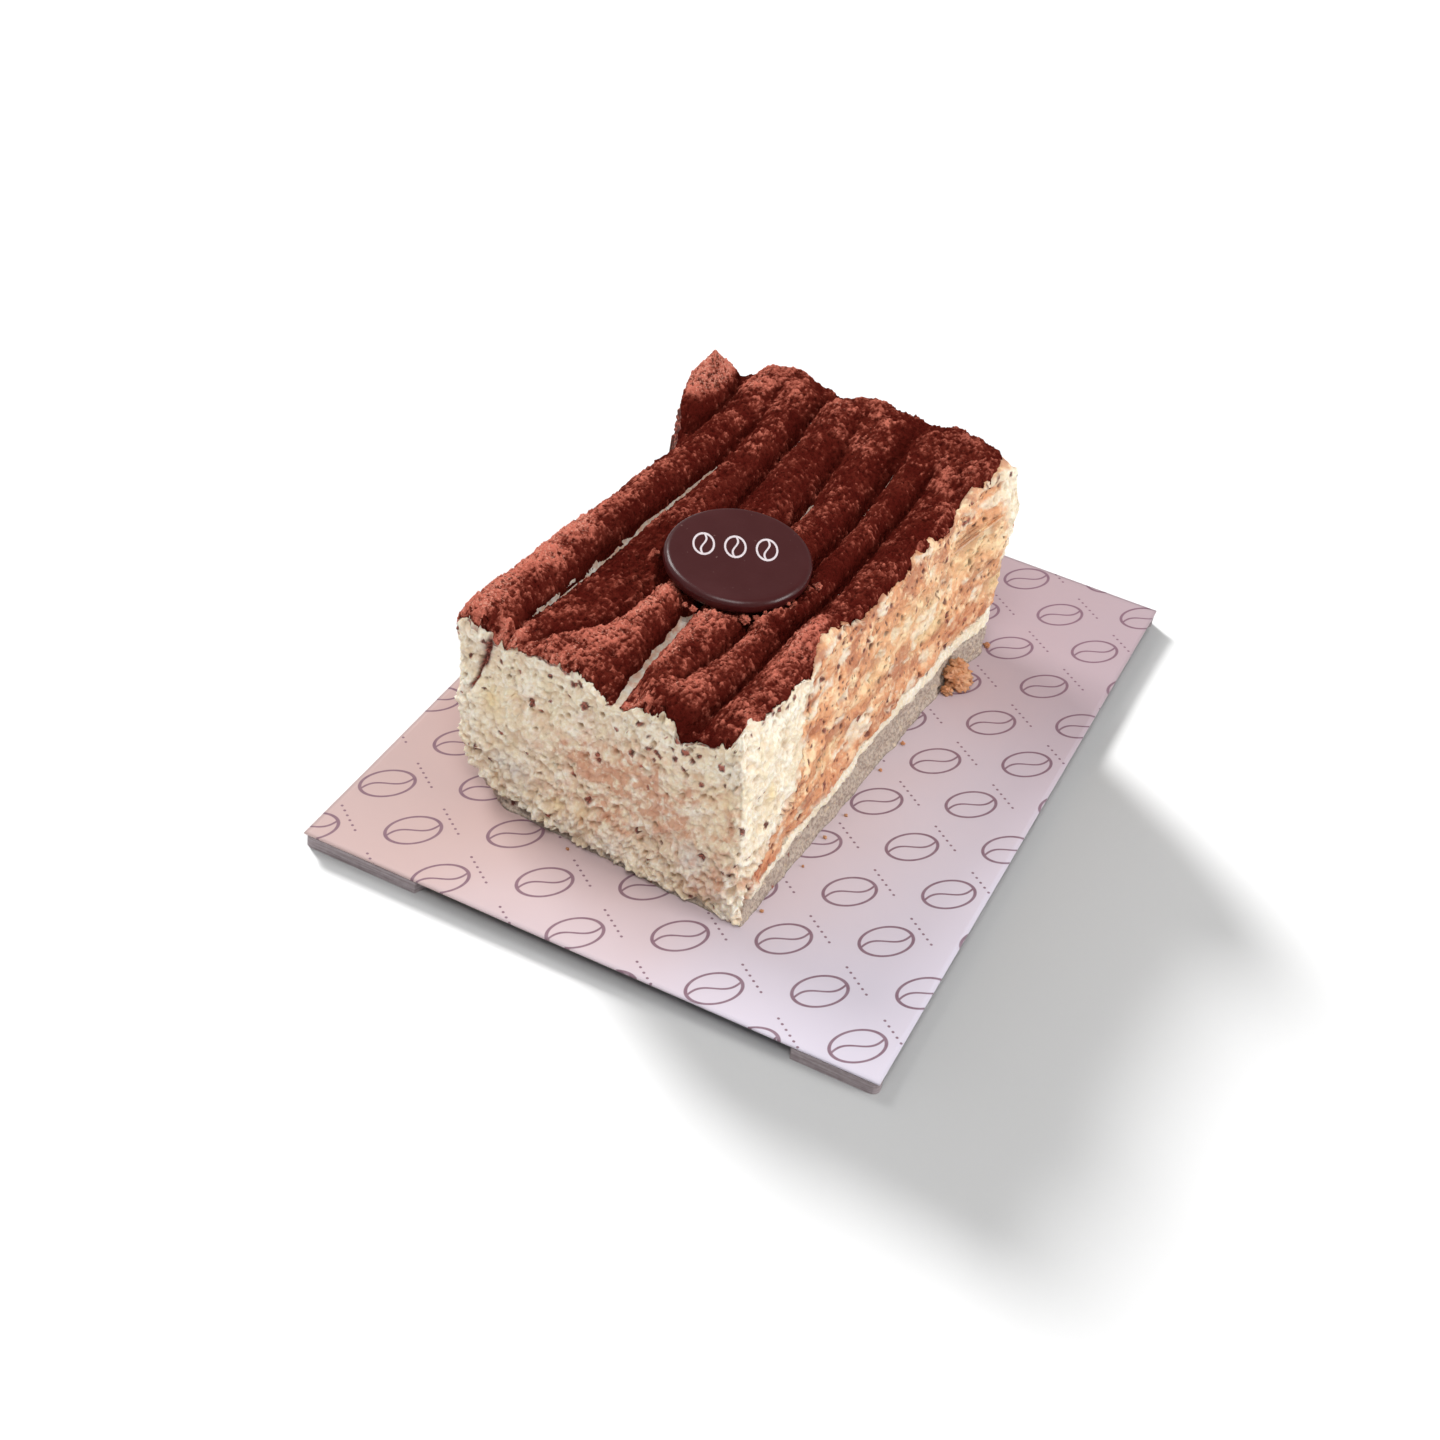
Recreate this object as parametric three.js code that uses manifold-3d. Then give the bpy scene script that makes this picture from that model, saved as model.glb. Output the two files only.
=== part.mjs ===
// A portion of tiramisu on a printed paper sheet over a grey board.
// Millimetres, +Z up. The origin is the bottom centre of the board, the front is -Y.
// The cake has its own frame, turned on the sheet: u runs across it and is negative to the left,
// v runs from the front to the back, and z is the height over the sheet.

import * as THREE from 'three';
import { mergeVertices } from 'three/addons/utils/BufferGeometryUtils.js';
import Module from 'manifold-3d';

const wasm = await Module();
wasm.setup();

const { clamp, degToRad, lerp, smoothstep } = THREE.MathUtils;

// Sheet and board
const SHEET_WIDTH = 105;
const SHEET_DEPTH = 148.5;
const SHEET_THICKNESS = 0.3;
const BOARD_THICKNESS = 2.4;
const BOARD_CORNER = 1.6;
const RECESS_START = 21.5;
const RECESS_END = 90;
const RECESS_DEPTH = 7;
const RECESS_EASE = 3;

// Place of the cake on the sheet: its front right bottom corner and its turn
const CAKE_CORNER = new THREE.Vector2(19.33, -55.25);
const CAKE_TURN_DEG = -5.4;

// Heights of the layers over the sheet
const BASE_TOP = 6;
const LOWER_CREAM_TOP = 8.8;
const SPONGE_TOP = 32.2;
const FRONT_CREAM_FOOT = 2;
const SOLID_GAP = 0.3;
const COCOA_THICKNESS = 0.8;

// Back of the cream that stands in front of the sponge, as depth and height, from its foot up
const FRONT_CREAM_BACK = [
  new THREE.Vector2(2.4, 7),
  new THREE.Vector2(8, 10),
  new THREE.Vector2(17, 14),
  new THREE.Vector2(22, 22),
  new THREE.Vector2(24, SPONGE_TOP + SOLID_GAP),
];

// Outer faces of the cake
const LEFT_SIDE_U = -60.4;
const LEFT_FOOT_RECESS = 10.2;
const LEFT_FOOT_FADE = 6.5;
const RIGHT_LEAN = 0.12;
const RIGHT_TAPER = 0.0275;
const BACK_FOOT_V = 97.8;
const BACK_BULGE = 4.6;
const BACK_BULGE_HEIGHT = 26;
const BACK_TOP_DRAW_IN = 2;
const FOOT_SETBACK = 1.1;
const FACE_RELIEF = 0.55;

// Piped ropes, from left to right: how wide each is at the front and at the back
const ROPES = [
  { front: 9.1, back: 8.9 },
  { front: 9.9, back: 8.9 },
  { front: 10.4, back: 9.2 },
  { front: 9.0, back: 9.1 },
  { front: 6.8, back: 8.4 },
  { front: 9.5, back: 9.6 },
];
const FIRST_ROPE_LEFT = { front: -57.0, back: -59.3 };
const ROPE_CREST = 38.2;
const ROPE_GROOVE = 33.7;
const RIM_HEIGHT = 33;
const ROPE_DEPTH_SPAN = 100;
const BACK_RISE_START = 80;
const BACK_RISE_END = 94;
const BACK_CREST_RISE = 3.6;
const BACK_GROOVE_RISE = 2.6;
const OPEN_END_LENGTH = 5;
const OPEN_END_SHARE = 0.12;

// Turns that join neighbouring ropes: the rope on the left of each, where the turn's centre lies
// and how far the turn reaches from there
const TURNS = [
  { rope: 0, centre: 90.5, reach: 10.5 },
  { rope: 1, centre: 14, reach: -14.2 },
  { rope: 2, centre: 90.5, reach: 10.5 },
  { rope: 3, centre: 8, reach: -8.4 },
  { rope: 4, centre: 90.5, reach: 10.5 },
];

// Swellings of single ropes: a step on the first one and a torn hump on the last one
const STEP_HEIGHT = 1.1;
const STEP_V = 34;
const STEP_SOFTNESS = 2;
const HUMP_HEIGHT = 2.8;
const HUMP_V = 30;
const HUMP_HALF_LENGTH = 8;

// Bare cream lump on the front right corner
const LUMP = { u: -4.6, v: 1.5, height: 38.8, halfWidth: 3.4, halfDepth: 5, drop: 6 };

// Raised tail of piping on the back left corner
const TAIL = { u: -64, v: 87.5, height: 45.2, foot: 33.5, halfWidth: 6.2, frontLength: 16, backLength: 12 };
const TAIL_REACH = 8.6;
const TAIL_SHARPNESS = 1.15;
const TAIL_FLARE_START = 16;

// Chocolate disc
const DISC_RADIUS = 12.9;
const DISC_THICKNESS = 3.1;
const DISC_EDGE = 1.1;
const DISC_CENTRE = new THREE.Vector3(-28.6, 37.4, 40.6);
const DISC_TILT_DEG = 5;
const DISC_TILT_HEADING_DEG = -65;
const SEAT_MARGIN = 2.6;

// Facets
const STEPS_PER_ROPE = 6;
const STEPS_ON_RIM = 4;
const STEPS_ALONG = 26;
const END_CROWDING = 0.62;
const CREAM_WALL_STEPS = 7;
const SPONGE_WALL_STEPS = 5;
const BASE_WALL_STEPS = 2;
const DISC_SEGMENTS = 48;
const EDGE_ARC_STEPS = 3;
const SETTLE_ROUNDS = 4;
const MERGE_TOLERANCE = 1e-4;
const FAR = 150;

/** Slow unevenness between about -1 and 1, the same on every run. */
function ripple(x, y, seed) {
  const broad = Math.sin(0.21 * x + 1.7 * seed) * Math.cos(0.27 * y + 0.9 * seed);
  const fine = Math.sin(0.53 * x - 0.41 * y + 2.3 * seed) * Math.cos(0.19 * x + 0.61 * y - seed);
  return 0.6 * broad + 0.4 * fine;
}

/** How far the tail is grown at a depth: 0 away from it, 1 at its peak. */
function tailWindow(v) {
  const rising = smoothstep(v, TAIL.v - TAIL.frontLength - 4, TAIL.v - 4);
  return rising * (1 - smoothstep(v, TAIL.v + 4, TAIL.v + TAIL.backLength + 2));
}

/** Left face: a foot that is drawn in under a fuller side, flared out below the tail. */
function leftU(z, v) {
  const foot = LEFT_FOOT_RECESS * Math.exp(-z / LEFT_FOOT_FADE);
  const flare = TAIL_REACH * tailWindow(v) * smoothstep(z, TAIL_FLARE_START, RIM_HEIGHT);
  return LEFT_SIDE_U + foot - flare + FACE_RELIEF * ripple(v, z, 3);
}

/** Right face, a cut that leans in and closes in towards the back. */
function rightU(z, v) {
  return -RIGHT_LEAN * z - RIGHT_TAPER * v + FACE_RELIEF * ripple(v, z, 2);
}

/** Front face, flat, with its foot set back under the cream. */
function frontV(z, u) {
  const foot = FOOT_SETBACK * (1 - smoothstep(z, FRONT_CREAM_FOOT - 0.6, FRONT_CREAM_FOOT + 1.2));
  return foot + 0.6 * FACE_RELIEF * ripple(u, z, 1);
}

/** Back face, fullest at two thirds of the height. */
function backV(z, u) {
  const bulge = BACK_BULGE * Math.sin((Math.PI / 2) * clamp(z / BACK_BULGE_HEIGHT, 0, 1));
  const drawIn = BACK_TOP_DRAW_IN * smoothstep(z, BACK_BULGE_HEIGHT + 2, ROPE_CREST);
  return BACK_FOOT_V + bulge - drawIn + FACE_RELIEF * ripple(u, z, 4);
}

/** Lines across the top where rope meets rope, from the first rope's left side. */
function ropeEdges(v) {
  const share = v / ROPE_DEPTH_SPAN;
  const edges = [lerp(FIRST_ROPE_LEFT.front, FIRST_ROPE_LEFT.back, share)];
  for (const rope of ROPES) {
    edges.push(edges[edges.length - 1] + lerp(rope.front, rope.back, share));
  }
  return edges;
}

/** Round section of a rope: 1 on its crest, 0 in the grooves at -1 and 1. */
function roundSection(x) {
  return Math.sqrt(Math.max(0, 1 - x * x));
}

/** Height of a rope's crest along it. */
function crestHeight(rope, v) {
  let height = ROPE_CREST + BACK_CREST_RISE * smoothstep(v, BACK_RISE_START, BACK_RISE_END);
  if (rope === 0) {
    height += STEP_HEIGHT * (1 - smoothstep(v, STEP_V - STEP_SOFTNESS, STEP_V + STEP_SOFTNESS));
  }
  if (rope === ROPES.length - 1) {
    height += HUMP_HEIGHT * roundSection((v - HUMP_V) / HUMP_HALF_LENGTH) ** 2;
  }
  return height + 0.4 * ripple(7 * rope, v, 5);
}

/** Share of the full rope left at an open front end, which is rounded over. */
function openEnd(v) {
  return Math.max(OPEN_END_SHARE, roundSection(1 - clamp(v / OPEN_END_LENGTH, 0, 1)));
}

/** Whether a rope runs straight at this depth, or has gone into a turn. */
function runsStraight(rope, v) {
  return TURNS.every((turn) => {
    const joins = rope === turn.rope || rope === turn.rope + 1;
    return !joins || Math.sign(turn.reach) * (v - turn.centre) <= 0;
  });
}

/** Height of the straight ropes and of the turns between them, or the groove height if none. */
function ropeHeight(u, v) {
  const groove = ROPE_GROOVE + BACK_GROOVE_RISE * smoothstep(v, BACK_RISE_START, BACK_RISE_END);
  const edges = ropeEdges(v);
  let height = groove;
  ROPES.forEach((_, rope) => {
    if (!runsStraight(rope, v)) {
      return;
    }
    const half = (edges[rope + 1] - edges[rope]) / 2;
    const across = (u - edges[rope] - half) / half;
    const isOpen = rope === 0 || rope === ROPES.length - 1;
    const section = roundSection(across) * (isOpen ? openEnd(v) : 1);
    height = Math.max(height, groove + (crestHeight(rope, v) - groove) * section);
  });
  for (const turn of TURNS) {
    const past = (v - turn.centre) / turn.reach;
    if (past < 0) {
      continue;
    }
    const middle = edges[turn.rope + 1];
    const side = u < middle ? middle - edges[turn.rope] : edges[turn.rope + 2] - middle;
    const radius = Math.hypot((u - middle) / side, past);
    const section = roundSection(2 * radius - 1);
    height = Math.max(height, groove + (crestHeight(turn.rope, v) - groove) * section);
  }
  return height;
}

/** Height of the rounded rim outside the first rope. */
function rimHeight(u, v) {
  const inner = ropeEdges(v)[0];
  const outward = clamp((inner - u) / (inner - leftU(RIM_HEIGHT, v)), 0, 1);
  return lerp(ROPE_GROOVE, RIM_HEIGHT, outward * outward);
}

/** Height of the raised tail, a leaning cone with a blunt tip. */
function tailHeight(u, v) {
  const length = v < TAIL.v ? TAIL.frontLength : TAIL.backLength;
  const radius = Math.hypot((u - TAIL.u) / TAIL.halfWidth, (v - TAIL.v) / length);
  return TAIL.foot + (TAIL.height - TAIL.foot) * (1 - radius ** TAIL_SHARPNESS);
}

/** Height of the bare cream lump on the front corner. */
function lumpHeight(u, v) {
  const radius = Math.hypot((u - LUMP.u) / LUMP.halfWidth, (v - LUMP.v) / LUMP.halfDepth);
  return LUMP.height - LUMP.drop * radius * radius;
}

/** Underside of the disc at a place, as a plane that goes on outside it. */
function discUnderside(u, v) {
  const slope = Math.tan(degToRad(DISC_TILT_DEG));
  const heading = degToRad(DISC_TILT_HEADING_DEG);
  const along = (u - DISC_CENTRE.x) * Math.cos(heading) + (v - DISC_CENTRE.y) * Math.sin(heading);
  return DISC_CENTRE.z - DISC_THICKNESS / 2 - slope * along;
}

/** Highest the cream may stand near the disc, whose seat is pressed into the ropes. */
function seatHeight(u, v) {
  const outside = Math.hypot(u - DISC_CENTRE.x, v - DISC_CENTRE.y) - DISC_RADIUS - SEAT_MARGIN;
  const seat = discUnderside(u, v) - COCOA_THICKNESS - 2 * SOLID_GAP;
  return outside > 0 ? seat + 2 * outside : seat;
}

/** Height of the cream's top, with ropes, rim, tail, lump and the disc's seat. */
function creamHeight(u, v) {
  const piped = u < ropeEdges(v)[0] ? rimHeight(u, v) : ropeHeight(u, v);
  const raised = Math.max(piped, tailHeight(u, v), lumpHeight(u, v));
  return Math.min(raised, seatHeight(u, v));
}

/** Places of the grid lines across the top at a depth, crowded into every rope alike. */
function acrossLines(v) {
  const edges = ropeEdges(v);
  edges[edges.length - 1] = rightU(ROPE_CREST, v);
  const lines = [];
  const rimLeft = leftU(RIM_HEIGHT, v);
  for (let step = 0; step < STEPS_ON_RIM; step += 1) {
    lines.push(lerp(rimLeft, edges[0], step / STEPS_ON_RIM));
  }
  for (let rope = 0; rope < ROPES.length; rope += 1) {
    for (let step = 0; step < STEPS_PER_ROPE; step += 1) {
      const share = 0.5 - 0.5 * Math.cos((Math.PI * step) / STEPS_PER_ROPE);
      lines.push(lerp(edges[rope], edges[rope + 1], share));
    }
  }
  lines.push(edges[edges.length - 1]);
  return lines;
}

const STEPS_ACROSS = STEPS_ON_RIM + STEPS_PER_ROPE * ROPES.length;

/** Share of the depth at a grid line along the cake, crowded towards both ends. */
function alongShare(line) {
  const even = line / STEPS_ALONG;
  return lerp(even, 0.5 - 0.5 * Math.cos(Math.PI * even), END_CROWDING);
}

/** Point of the cream's top at a crossing of two grid lines. */
function topPoint(lineAcross, lineAlong) {
  const share = alongShare(lineAlong);
  let u = -30;
  let v = share * BACK_FOOT_V;
  let z = ROPE_CREST;
  for (let round = 0; round < SETTLE_ROUNDS; round += 1) {
    v = lerp(frontV(z, u), backV(z, u), share);
    u = acrossLines(v)[lineAcross];
    z = creamHeight(u, v);
  }
  return new THREE.Vector3(u, v, z);
}

/** Point on the outer faces at a height, under a grid crossing on the top's edge. */
function facePoint(lineAcross, lineAlong, z) {
  const share = alongShare(lineAlong);
  let u = -30;
  let v = share * BACK_FOOT_V;
  for (let round = 0; round < SETTLE_ROUNDS; round += 1) {
    v = lerp(frontV(z, u), backV(z, u), share);
    const lines = acrossLines(v);
    const acrossShare = (lines[lineAcross] - lines[0]) / (lines[STEPS_ACROSS] - lines[0]);
    u = lerp(leftU(z, v), rightU(z, v), acrossShare);
  }
  return new THREE.Vector3(u, v, z);
}

/** Grid crossings round the edge, counterclockwise from the front left corner. */
function edgeCrossings() {
  const crossings = [];
  for (let i = 0; i < STEPS_ACROSS; i += 1) crossings.push([i, 0]);
  for (let j = 0; j < STEPS_ALONG; j += 1) crossings.push([STEPS_ACROSS, j]);
  for (let i = STEPS_ACROSS; i > 0; i -= 1) crossings.push([i, STEPS_ALONG]);
  for (let j = STEPS_ALONG; j > 0; j -= 1) crossings.push([0, j]);
  return crossings;
}

/** Collects points and faces of one closed body. */
class Body {
  constructor() {
    this.positions = [];
    this.faces = [];
  }

  addPoint(point) {
    this.positions.push(point.x, point.y, point.z);
    return this.positions.length / 3 - 1;
  }

  addGrid(pointAt, facingUp) {
    const rows = [];
    for (let i = 0; i <= STEPS_ACROSS; i += 1) {
      rows.push([]);
      for (let j = 0; j <= STEPS_ALONG; j += 1) rows[i].push(this.addPoint(pointAt(i, j)));
    }
    for (let i = 0; i < STEPS_ACROSS; i += 1) {
      for (let j = 0; j < STEPS_ALONG; j += 1) {
        const [near, far] = [rows[i][j], rows[i + 1][j + 1]];
        const [right, back] = [rows[i + 1][j], rows[i][j + 1]];
        this.addQuad(facingUp ? [near, right, far, back] : [near, back, far, right]);
      }
    }
  }

  addQuad([a, b, c, d]) {
    this.faces.push(a, b, c, a, c, d);
  }

  /** Joins loops of equal length, each above the one before, with a wall that faces out. */
  addWall(loops) {
    const rings = loops.map((loop) => loop.map((point) => this.addPoint(point)));
    for (let level = 0; level + 1 < rings.length; level += 1) {
      const lower = rings[level];
      const upper = rings[level + 1];
      lower.forEach((_, index) => {
        const next = (index + 1) % lower.length;
        this.addQuad([lower[index], lower[next], upper[next], upper[index]]);
      });
    }
  }

  addCap(loop, facingUp) {
    const ring = loop.map((point) => this.addPoint(point));
    const outline = loop.map((point) => new THREE.Vector2(point.x, point.y));
    for (const [a, b, c] of THREE.ShapeUtils.triangulateShape(outline, [])) {
      this.faces.push(...(facingUp ? [ring[a], ring[b], ring[c]] : [ring[c], ring[b], ring[a]]));
    }
  }

  geometry() {
    const geometry = new THREE.BufferGeometry();
    geometry.setAttribute('position', new THREE.Float32BufferAttribute(this.positions, 3));
    geometry.setIndex(this.faces);
    return mergeVertices(geometry, MERGE_TOLERANCE);
  }
}

/** Loop of points round the cake at one height. */
function faceLoop(z) {
  return edgeCrossings().map(([i, j]) => facePoint(i, j, z));
}

/** Level slice of the cake between two heights. */
function slice(bottom, top, steps) {
  const body = new Body();
  const loops = [];
  for (let step = 0; step <= steps; step += 1) loops.push(faceLoop(lerp(bottom, top, step / steps)));
  body.addWall(loops);
  body.addCap(loops[0], false);
  body.addCap(loops[steps], true);
  return body.geometry();
}

/** Everything from a height up to the piped top. */
function pipedBlock(bottom) {
  const body = new Body();
  const loops = [];
  for (let step = 0; step <= CREAM_WALL_STEPS; step += 1) {
    loops.push(edgeCrossings().map(([i, j]) => {
      const top = topPoint(i, j);
      if (step === CREAM_WALL_STEPS) {
        return top;
      }
      return facePoint(i, j, lerp(bottom, top.z, step / CREAM_WALL_STEPS));
    }));
  }
  body.addWall(loops);
  body.addCap(loops[0], false);
  body.addGrid(topPoint, true);
  return body.geometry();
}

/** Skin of even height that lies over the piped top. */
function pipedSkin(clearance, thickness) {
  const raised = (height) => (i, j) => topPoint(i, j).add(new THREE.Vector3(0, 0, height));
  const under = raised(clearance);
  const over = raised(clearance + thickness);
  const body = new Body();
  body.addGrid(under, false);
  body.addGrid(over, true);
  body.addWall([under, over].map((pointAt) => edgeCrossings().map(([i, j]) => pointAt(i, j))));
  return body.geometry();
}

/** Closed geometry as a solid that can be joined and cut. */
function toSolid(geometry) {
  const bare = geometry.clone();
  bare.deleteAttribute('normal');
  bare.deleteAttribute('uv');
  const merged = mergeVertices(bare, MERGE_TOLERANCE);
  return new wasm.Manifold(new wasm.Mesh({
    numProp: 3,
    vertProperties: new Float32Array(merged.attributes.position.array),
    triVerts: new Uint32Array(merged.index.array),
  }));
}

/** Solid back as a geometry. */
function toGeometry(solid) {
  const mesh = solid.getMesh();
  const geometry = new THREE.BufferGeometry();
  geometry.setAttribute('position', new THREE.Float32BufferAttribute(mesh.vertProperties, 3));
  geometry.setIndex(Array.from(mesh.triVerts));
  return geometry;
}

/** Bar right across the cake, from an outline of depths and heights. */
function crossBar(outline) {
  const bar = new THREE.ExtrudeGeometry(new THREE.Shape(outline), {
    depth: 2 * FAR,
    bevelEnabled: false,
  });
  const turned = new THREE.Matrix4().makeBasis(
    new THREE.Vector3(0, 1, 0),
    new THREE.Vector3(0, 0, 1),
    new THREE.Vector3(1, 0, 0),
  );
  return toSolid(bar.translate(0, 0, -FAR).applyMatrix4(turned));
}

/** Cream over the sponge and down the front, in one piece. */
function creamTopGeometry() {
  const foot = FRONT_CREAM_BACK[0];
  const top = FRONT_CREAM_BACK[FRONT_CREAM_BACK.length - 1];
  const spongeSpace = crossBar([
    new THREE.Vector2(foot.x, -FAR),
    new THREE.Vector2(FAR, -FAR),
    new THREE.Vector2(FAR, top.y),
    ...[...FRONT_CREAM_BACK].reverse(),
  ]);
  return toGeometry(toSolid(pipedBlock(FRONT_CREAM_FOOT)).subtract(spongeSpace));
}

/** Level layer that stops behind the front cream above that cream's foot. */
function layerGeometry(bottom, top, steps) {
  const back = FRONT_CREAM_BACK.map((point) => new THREE.Vector2(point.x + SOLID_GAP, point.y - SOLID_GAP));
  const frontFoot = FRONT_CREAM_FOOT - SOLID_GAP;
  const creamSpace = crossBar([
    new THREE.Vector2(-FAR, frontFoot),
    new THREE.Vector2(back[0].x, frontFoot),
    ...back,
    new THREE.Vector2(back[back.length - 1].x, FAR),
    new THREE.Vector2(-FAR, FAR),
  ]);
  return toGeometry(toSolid(slice(bottom, top, steps)).subtract(creamSpace));
}

/** Disc with rounded edges, centred on its own middle. */
function discGeometry() {
  const half = DISC_THICKNESS / 2;
  const profile = [new THREE.Vector2(0, -half)];
  for (const side of [-1, 1]) {
    for (let step = 0; step <= EDGE_ARC_STEPS; step += 1) {
      const turn = (Math.PI / 2) * (step / EDGE_ARC_STEPS);
      const angle = side < 0 ? turn - Math.PI / 2 : turn;
      const centreHeight = side * (half - DISC_EDGE);
      profile.push(new THREE.Vector2(
        DISC_RADIUS - DISC_EDGE + DISC_EDGE * Math.cos(angle),
        centreHeight + DISC_EDGE * Math.sin(angle),
      ));
    }
  }
  profile.push(new THREE.Vector2(0, half));
  return new THREE.LatheGeometry(profile, DISC_SEGMENTS).rotateX(Math.PI / 2);
}

/** Board outline, with a shallow recess under the sheet's front edge and one under its right edge. */
function boardShape() {
  const halfWidth = SHEET_WIDTH / 2;
  const halfDepth = SHEET_DEPTH / 2;
  const recessFrom = RECESS_START - halfWidth;
  const recessTo = RECESS_END - halfWidth;
  const shape = new THREE.Shape();
  shape.moveTo(-halfWidth + BOARD_CORNER, -halfDepth);
  shape.lineTo(recessFrom, -halfDepth);
  shape.lineTo(recessFrom + RECESS_EASE, -halfDepth + RECESS_DEPTH);
  shape.lineTo(recessTo - RECESS_EASE, -halfDepth + RECESS_DEPTH);
  shape.lineTo(recessTo, -halfDepth);
  shape.lineTo(halfWidth - BOARD_CORNER, -halfDepth);
  shape.quadraticCurveTo(halfWidth, -halfDepth, halfWidth, -halfDepth + BOARD_CORNER);
  shape.lineTo(halfWidth - RECESS_EASE, -halfDepth + RECESS_DEPTH);
  shape.lineTo(halfWidth - RECESS_EASE, halfDepth - RECESS_DEPTH);
  shape.lineTo(halfWidth, halfDepth - BOARD_CORNER);
  shape.quadraticCurveTo(halfWidth, halfDepth, halfWidth - BOARD_CORNER, halfDepth);
  shape.lineTo(-halfWidth + BOARD_CORNER, halfDepth);
  shape.quadraticCurveTo(-halfWidth, halfDepth, -halfWidth, halfDepth - BOARD_CORNER);
  shape.lineTo(-halfWidth, -halfDepth + BOARD_CORNER);
  shape.quadraticCurveTo(-halfWidth, -halfDepth, -halfWidth + BOARD_CORNER, -halfDepth);
  return shape;
}

/** Matt or glossy material of one colour. */
function finish(color, roughness) {
  return new THREE.MeshStandardMaterial({ color, roughness, metalness: 0 });
}

/** Mesh with its node name. */
function part(name, geometry, material) {
  const mesh = new THREE.Mesh(geometry, material);
  mesh.name = name;
  return mesh;
}

/** Grey board under the sheet. */
function makeBoard() {
  const geometry = new THREE.ExtrudeGeometry(boardShape(), {
    depth: BOARD_THICKNESS,
    bevelEnabled: false,
    curveSegments: 4,
  });
  return part('card_board', geometry, finish(0x9c8c8e, 0.9));
}

/** Printed sheet of stiff paper. */
function makeSheet() {
  const geometry = new THREE.BoxGeometry(SHEET_WIDTH, SHEET_DEPTH, SHEET_THICKNESS);
  const sheet = part('paper_sheet', geometry, finish(0xd9cfd8, 0.6));
  sheet.position.z = BOARD_THICKNESS + SHEET_THICKNESS / 2;
  return sheet;
}

/** Chocolate disc, tilted a little to the front. */
function makeDisc() {
  const disc = part('chocolate_disc', discGeometry(), finish(0x3d1d20, 0.35));
  const heading = degToRad(DISC_TILT_HEADING_DEG);
  const axis = new THREE.Vector3(-Math.sin(heading), Math.cos(heading), 0);
  disc.quaternion.setFromAxisAngle(axis, degToRad(DISC_TILT_DEG));
  disc.position.copy(DISC_CENTRE);
  return disc;
}

/** The cake, bottom to top, in its own frame. */
function makeCake() {
  const cake = new THREE.Group();
  cake.add(
    part('base_sponge', layerGeometry(0, BASE_TOP, BASE_WALL_STEPS), finish(0x9c8062, 0.95)),
    part('cream_lower', layerGeometry(BASE_TOP, LOWER_CREAM_TOP, 1), finish(0xeadcbc, 0.6)),
    part('sponge_middle', layerGeometry(LOWER_CREAM_TOP, SPONGE_TOP, SPONGE_WALL_STEPS), finish(0xd29a62, 0.9)),
    part('cream_top', creamTopGeometry(), finish(0xece3c6, 0.6)),
    part('cocoa_dusting', pipedSkin(SOLID_GAP, COCOA_THICKNESS), finish(0x5e2a22, 1)),
    makeDisc(),
  );
  cake.rotation.z = degToRad(CAKE_TURN_DEG);
  cake.position.set(CAKE_CORNER.x, CAKE_CORNER.y, BOARD_THICKNESS + SHEET_THICKNESS);
  return cake;
}

const tiramisu = new THREE.Group();
tiramisu.add(makeBoard(), makeSheet(), makeCake());

export default tiramisu;
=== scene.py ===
"""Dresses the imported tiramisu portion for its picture.

The cake has its own frame in millimetres: u runs across it and is negative to the left, v runs
from the front to the back, and z is the height over the printed sheet. One outer form is worked
out as fine grids, every layer takes its share of them, and the result goes to the row frame in
metres.
"""

import logging
import math
from collections.abc import Callable
from dataclasses import dataclass, field
from enum import Enum

import bpy
import numpy as np
from mathutils import Euler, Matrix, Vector

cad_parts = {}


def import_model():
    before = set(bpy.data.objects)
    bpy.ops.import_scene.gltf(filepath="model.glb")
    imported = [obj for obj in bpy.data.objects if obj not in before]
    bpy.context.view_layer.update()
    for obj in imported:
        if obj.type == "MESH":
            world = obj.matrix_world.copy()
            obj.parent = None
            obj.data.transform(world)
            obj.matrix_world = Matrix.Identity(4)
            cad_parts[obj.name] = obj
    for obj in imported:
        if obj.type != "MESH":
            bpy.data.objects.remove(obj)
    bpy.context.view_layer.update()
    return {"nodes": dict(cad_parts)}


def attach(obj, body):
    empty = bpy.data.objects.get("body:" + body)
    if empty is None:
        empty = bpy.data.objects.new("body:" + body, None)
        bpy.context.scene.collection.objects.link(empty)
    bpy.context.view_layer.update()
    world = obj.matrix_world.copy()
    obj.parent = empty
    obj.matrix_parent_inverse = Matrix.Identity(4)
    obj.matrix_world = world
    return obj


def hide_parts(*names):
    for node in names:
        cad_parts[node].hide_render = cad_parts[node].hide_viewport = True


LOG = logging.getLogger("tiramisu")
MM = 0.001
TAU = 2 * math.pi
ROPES = 6
TYPICAL_HEIGHT = 36.0  # of the cream's top, in millimetres
UNDER_COCOA = 1.3  # how far the cocoa's hidden underside lies below the cream's top
FINE_GRID = (240, 320, 128)  # steps across, along and up
NOISE_GAIN = 0.55

Array = np.ndarray
Colour = tuple[float, float, float]
Triple = tuple[float, float, float]


# ---------------------------------------------------------------- numbers and noise


def smoothstep(x: Array, low: float, high: float) -> Array:
    """Soft rise from 0 at low to 1 at high.

    Args:
        x: Values.
        low: Where the rise starts.
        high: Where the rise ends.

    Returns:
        Shares between 0 and 1.
    """
    t = np.clip((x - low) / (high - low), 0, 1)
    return t * t * (3 - 2 * t)


def lerp(a: Array, b: Array, share: Array) -> Array:
    """Value that lies a share of the way from a to b."""
    return a + (b - a) * share


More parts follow.
